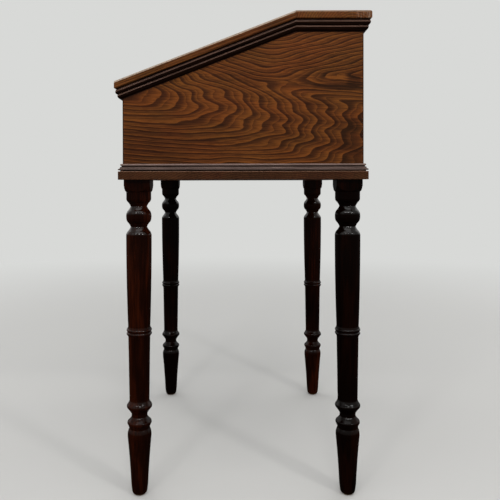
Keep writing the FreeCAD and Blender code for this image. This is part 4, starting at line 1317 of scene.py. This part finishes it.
@dataclass
class BaseMoulding(Moulding):
    """Nose, cove and astragal planted on the base board."""

    height: float = 18.0
    projection: float = 9.4
    groove_height: float = 2.6
    groove_depth: float = 4.5
    quirk: float = 2.4
    nose_height: float = 2.8
    nose_fullness: float = 0.8
    astragal_height: float = 4.8
    astragal_projection: float = 5.0
    cove_projection: float = 5.4
    cove_hollow: float = 1.4
    # How strongly highlight and sheen are painted on the nose, the cove and the astragal.
    nose_highlight: float = 0.45
    cove_sheen: float = 0.5
    astragal_highlight: float = 1.0

    def section(self) -> Pen:
        """Draws the base moulding's section, above the base board.

        Returns:
            The section.
        """
        foot = self.height - self.astragal_height
        back = self.astragal_projection - self.astragal_height / 2
        groove = self.projection - self.groove_depth
        pen = Pen((0.0, 0.0), finest_mm=0.6)
        pen.to((groove, 0.0))
        pen.to((groove, self.groove_height))
        pen.to((self.projection - self.nose_fullness, self.groove_height))
        pen.to((self.projection, self.groove_height + self.nose_height), -self.nose_fullness,
               self.nose_highlight)
        pen.to((self.cove_projection, foot - self.quirk), self.cove_hollow, self.cove_sheen)
        pen.to((back, foot - self.quirk))
        pen.to((back, foot))
        pen.to((back, self.height), -self.astragal_height / 2, self.astragal_highlight)
        pen.to((0.0, self.height))
        return pen

    def base_height(self, rim: float) -> float:
        """Stands the moulding on the base board, wherever the rim is."""
        return self.box.base_top


# ---- Boards and fittings --------------------------------------------------------------------


@dataclass(frozen=True)
class Board:
    """A plain board: its CAD node, where it lay in its log, and its stain."""

    node_name: str
    log: Log
    stain: Stain
    wood: type[Oak] = Oak


@dataclass
class Carcase:
    """Box, base board, fixed top and lid: CAD boards, each cut from its own log."""

    board_edge_mm: float = 0.8
    boards: tuple[Board, ...] = (
        Board("front_board", Log(Grain.ALONG_WIDTH, (0, -330, 880), 8.0, 1.2, 2.0), BOARD_STAIN),
        Board("back_board", Log(Grain.ALONG_WIDTH, (0, 345, 960), 9.0, 1.0, 3.0), BOARD_STAIN),
        Board("base_board", Log(Grain.ALONG_WIDTH, (0, 60, 180), 5.0, 1.0, 4.0), BASE_STAIN),
        Board("top_board", Log(Grain.ALONG_WIDTH, (0, 262, 1120), 6.0, 0.8, 5.0), TOP_STAIN,
              KnockedOak),
        Board("lid_panel", Log(Grain.ALONG_WIDTH, (0, -110, 960), 9.0, 1.3, 6.0, SLOPE_DEG),
              BOARD_STAIN),
        Board("lid_clamp_right", Log(Grain.UP_THE_SLOPE, (355, 0, 1010), 6.0, 0.8, 7.0, SLOPE_DEG),
              EDGE_STAIN),
        Board("lid_clamp_left", Log(Grain.UP_THE_SLOPE, (-355, 0, 1010), 6.0, 0.8, 8.0, SLOPE_DEG),
              EDGE_STAIN))

    def build(self) -> None:
        """Dresses every board."""
        for name, node_name, seed in (("oak_show_end", "end_panel_right", 1.3),
                                      ("oak_far_end", "end_panel_left", 7.9)):
            log = Log(Grain.ALONG_DEPTH, (0, 0, 700), seed=seed)
            dress(FiguredOak(name, log, SHOW_STAIN).material(), node_name)
        for board in self.boards:
            wood = board.wood("oak_" + board.node_name, board.log, board.stain)
            dress(wood.material(), board.node_name)
            ease(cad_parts[board.node_name], self.board_edge_mm)
        pine = Oak("pine_blocks", Log(Grain.UPRIGHT, (150, 60, 0), 4.0, 1.0, 9.0), BARE_STAIN)
        dress(pine.material(), "top_glue_blocks", "leg_wedges",
              *("corner_block_" + corner for corner in CORNERS))


@dataclass
class Fittings:
    """Hinges, lock and screws: cast brass, and steel where it turns, slides or holds."""

    brass: CabinetMetal = CabinetMetal("old_brass", clean="B48A4A", dull="5E4524", roughness=0.32)
    steel: CabinetMetal = CabinetMetal("old_steel", clean="8E8A84", dull="4A4540", roughness=0.38)
    brass_nodes: tuple[str, ...] = (
        "hinge_fixed_leaf_left", "hinge_fixed_leaf_right", "hinge_lid_leaf_left",
        "hinge_lid_leaf_right", "hinge_screws_fixed", "hinge_screws_lid", "link_plate",
        "link_plate_screws", "escutcheon", "escutcheon_pins", "lock_case", "lock_backplate",
        "lock_screws")
    steel_nodes: tuple[str, ...] = ("hinge_pin_left", "hinge_pin_right", "lock_bolt",
                                    "base_screws")
    metal_edge_mm: float = 0.2

    def build(self) -> None:
        """Dresses the metal pieces and eases their edges."""
        dress(self.brass.material(), *self.brass_nodes)
        dress(self.steel.material(), *self.steel_nodes)
        for name in self.brass_nodes + self.steel_nodes:
            ease(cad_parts[name], self.metal_edge_mm)


# ---- Studio ---------------------------------------------------------------------------------


@dataclass(frozen=True)
class SoftLight:
    """A rectangular softbox that looks at the desk."""

    name: str
    place_m: Triple
    size_m: Point
    watts: float

    def build(self, target: Vector) -> None:
        """Hangs the light.

        Args:
            target: the point it faces.
        """
        data = bpy.data.lights.new(self.name, "AREA")
        data.shape = "RECTANGLE"
        data.size, data.size_y = self.size_m
        data.energy = self.watts
        lamp = bpy.data.objects.new(self.name, data)
        lamp.location = self.place_m
        lamp.rotation_mode = "QUATERNION"
        lamp.rotation_quaternion = (target - lamp.location).to_track_quat("-Z", "Y")
        bpy.context.scene.collection.objects.link(lamp)


@dataclass
class Studio:
    """Pale floor, pale surround, soft lights and the camera."""

    background: str = "D8D9D7"
    ambient: str = "E9ECEE"
    low_ambient: float = 0.48
    high_ambient: float = 0.9
    floor_shown: str = "C5C3C0"
    floor_mottle: str = "C6C4C0"
    floor_bounce: str = "8F8C88"
    floor_reach_mm: float = 9000.0
    fade_from_m: float = 1.6
    fade_to_m: float = 4.5
    mottle_mm: float = 333.0
    light_target_m: Triple = (0.0, 0.0, 0.75)
    lights: tuple[SoftLight, ...] = (
        SoftLight("ceiling_front", (2.5, -1.05, 2.45), (0.3, 0.12), 10.0),
        SoftLight("ceiling_middle", (2.5, 0.2, 2.45), (0.3, 0.12), 9.0),
        SoftLight("ceiling_back", (2.5, 2.0, 2.45), (0.3, 0.12), 19.0),
        SoftLight("ceiling_strip", (2.5, 0.4, 2.45), (2.8, 0.06), 6.0),
        SoftLight("ceiling_wide", (1.3, 0.0, 2.9), (2.4, 1.0), 13.0),
        SoftLight("box_near_front", (2.3, -2.5, 2.2), (1.6, 1.6), 5.0),
        SoftLight("box_near_back", (2.3, 2.5, 2.2), (1.6, 1.6), 5.0),
        SoftLight("box_far_front", (-2.3, -2.5, 2.2), (3.0, 3.0), 24.0),
        SoftLight("box_far_back", (-2.3, 2.5, 2.2), (3.0, 3.0), 24.0))
    camera_place_m: Triple = (1.819, -0.0133, 0.766)
    pitch_deg: float = 0.516
    roll_deg: float = -0.12
    lens_mm: float = 43.2
    sensor_mm: float = 36.0
    shift: Point = (0.0246, -0.1251)

    def world(self) -> None:
        """Sets a pale surround that the camera and gloss see, and a softer one that lights."""
        world = bpy.data.worlds.new("studio_surround")
        bpy.context.scene.world = world
        world.use_nodes = True
        tree = world.node_tree
        tree.nodes.clear()
        path = add(tree, "LightPath").outputs
        seen = add(tree, "Math", (path["Is Camera Ray"], path["Is Glossy Ray"]),
                   operation="MAXIMUM")
        seen = add(tree, "Math", (seen, path["Is Transmission Ray"]), operation="MAXIMUM")
        shown = add(tree, "Background", {"Color": linear(self.background), "Strength": 1.0})
        direction = add(tree, "TexCoord").outputs["Generated"]
        height = add(tree, "SeparateXYZ", (direction,)).outputs[2]
        strength = add(tree, "MapRange", {
            "Value": height, "From Min": 0.0, "From Max": 0.8, "To Min": self.low_ambient,
            "To Max": self.high_ambient})
        lit = add(tree, "Background", {"Color": linear(self.ambient), "Strength": strength})
        both = add(tree, "MixShader", (seen, lit, shown))
        add(tree, "OutputWorld", {"Surface": both})

    def floor(self) -> None:
        """Lays a pale floor that fades into the surround and keeps the desk's shadow."""
        material, tree = new_material("studio_floor")
        where = add(tree, "TexCoord").outputs["Object"]
        distance = add(tree, "VectorMath", (where,), operation="LENGTH")
        fade = add(tree, "MapRange", {"Value": distance, "From Min": self.fade_from_m,
                                      "From Max": self.fade_to_m}, interpolation_type="SMOOTHSTEP")
        mottle = add(tree, "TexNoise", {"Vector": where, "Scale": 1 / (self.mottle_mm * MM),
                                        "Detail": 4.0})
        shown = add(tree, "Mix", {"Factor": mottle, "A": linear(self.floor_shown),
                                  "B": linear(self.floor_mottle)}, data_type="RGBA")
        colour = add(tree, "Mix", {
            "Factor": add(tree, "LightPath").outputs["Is Camera Ray"],
            "A": linear(self.floor_bounce), "B": shown}, data_type="RGBA")
        boards = add(tree, "BsdfPrincipled", {"Base Color": colour, "Roughness": 0.7,
                                              "Specular IOR Level": 0.2})
        glow = add(tree, "Emission", {"Color": linear(self.background), "Strength": 1.0})
        mixed = add(tree, "MixShader", (fade, boards, glow))
        add(tree, "OutputMaterial", {"Surface": mixed})
        corners = [Vector((x, y, 0.0)) * self.floor_reach_mm
                   for x, y in ((-1, -1), (1, -1), (1, 1), (-1, 1))]
        make_piece("studio_floor", corners, [(0, 1, 2, 3)], material)

    def camera(self) -> None:
        """Sets the camera at the desk's right-hand end, level with its legs' heads."""
        data = bpy.data.cameras.new("view")
        data.lens, data.sensor_width = self.lens_mm, self.sensor_mm
        data.shift_x, data.shift_y = self.shift
        camera = bpy.data.objects.new("view", data)
        camera.location = self.camera_place_m
        aim = Matrix.Rotation(math.radians(90), 4, "Z")
        aim @= Matrix.Rotation(math.radians(90 - self.pitch_deg), 4, "X")
        aim @= Matrix.Rotation(math.radians(self.roll_deg), 4, "Z")
        camera.rotation_euler = aim.to_euler()
        bpy.context.scene.collection.objects.link(camera)
        bpy.context.scene.camera = camera

    def build(self) -> None:
        """Sets up everything that isn't the desk."""
        self.world()
        self.floor()
        for light in self.lights:
            light.build(Vector(self.light_target_m))
        self.camera()
        bpy.context.scene.view_settings.view_transform = "Standard"


# ---- The whole desk -------------------------------------------------------------------------


def main() -> None:
    """Builds the desk and the studio."""
    logging.basicConfig(level=logging.INFO, format="%(name)s: %(message)s")
    Carcase().build()
    for seed, (corner, warmth) in enumerate(CORNERS.items()):
        TurnedLeg(corner, TurnedWood("turned_wood_" + corner, float(seed), warmth)).build()
    box = BoxShape.from_frame()
    cornice = Cornice(box, MOULD_STAIN)
    for seed, run in enumerate((Run.FRONT, Run.BACK, Run.SLOPE_RIGHT, Run.SLOPE_LEFT,
                                Run.FLAT_RIGHT, Run.FLAT_LEFT)):
        cornice.build(run, "cornice_" + run.value, float(seed))
    base_moulding = BaseMoulding(box, FOOT_MOULD_STAIN)
    for seed, run in enumerate((Run.FRONT, Run.BACK, Run.RIGHT, Run.LEFT)):
        base_moulding.build(run, "base_moulding_" + run.value, 20.0 + seed)
    Fittings().build()
    Studio().build()


if __name__ == "__main__":
    main()
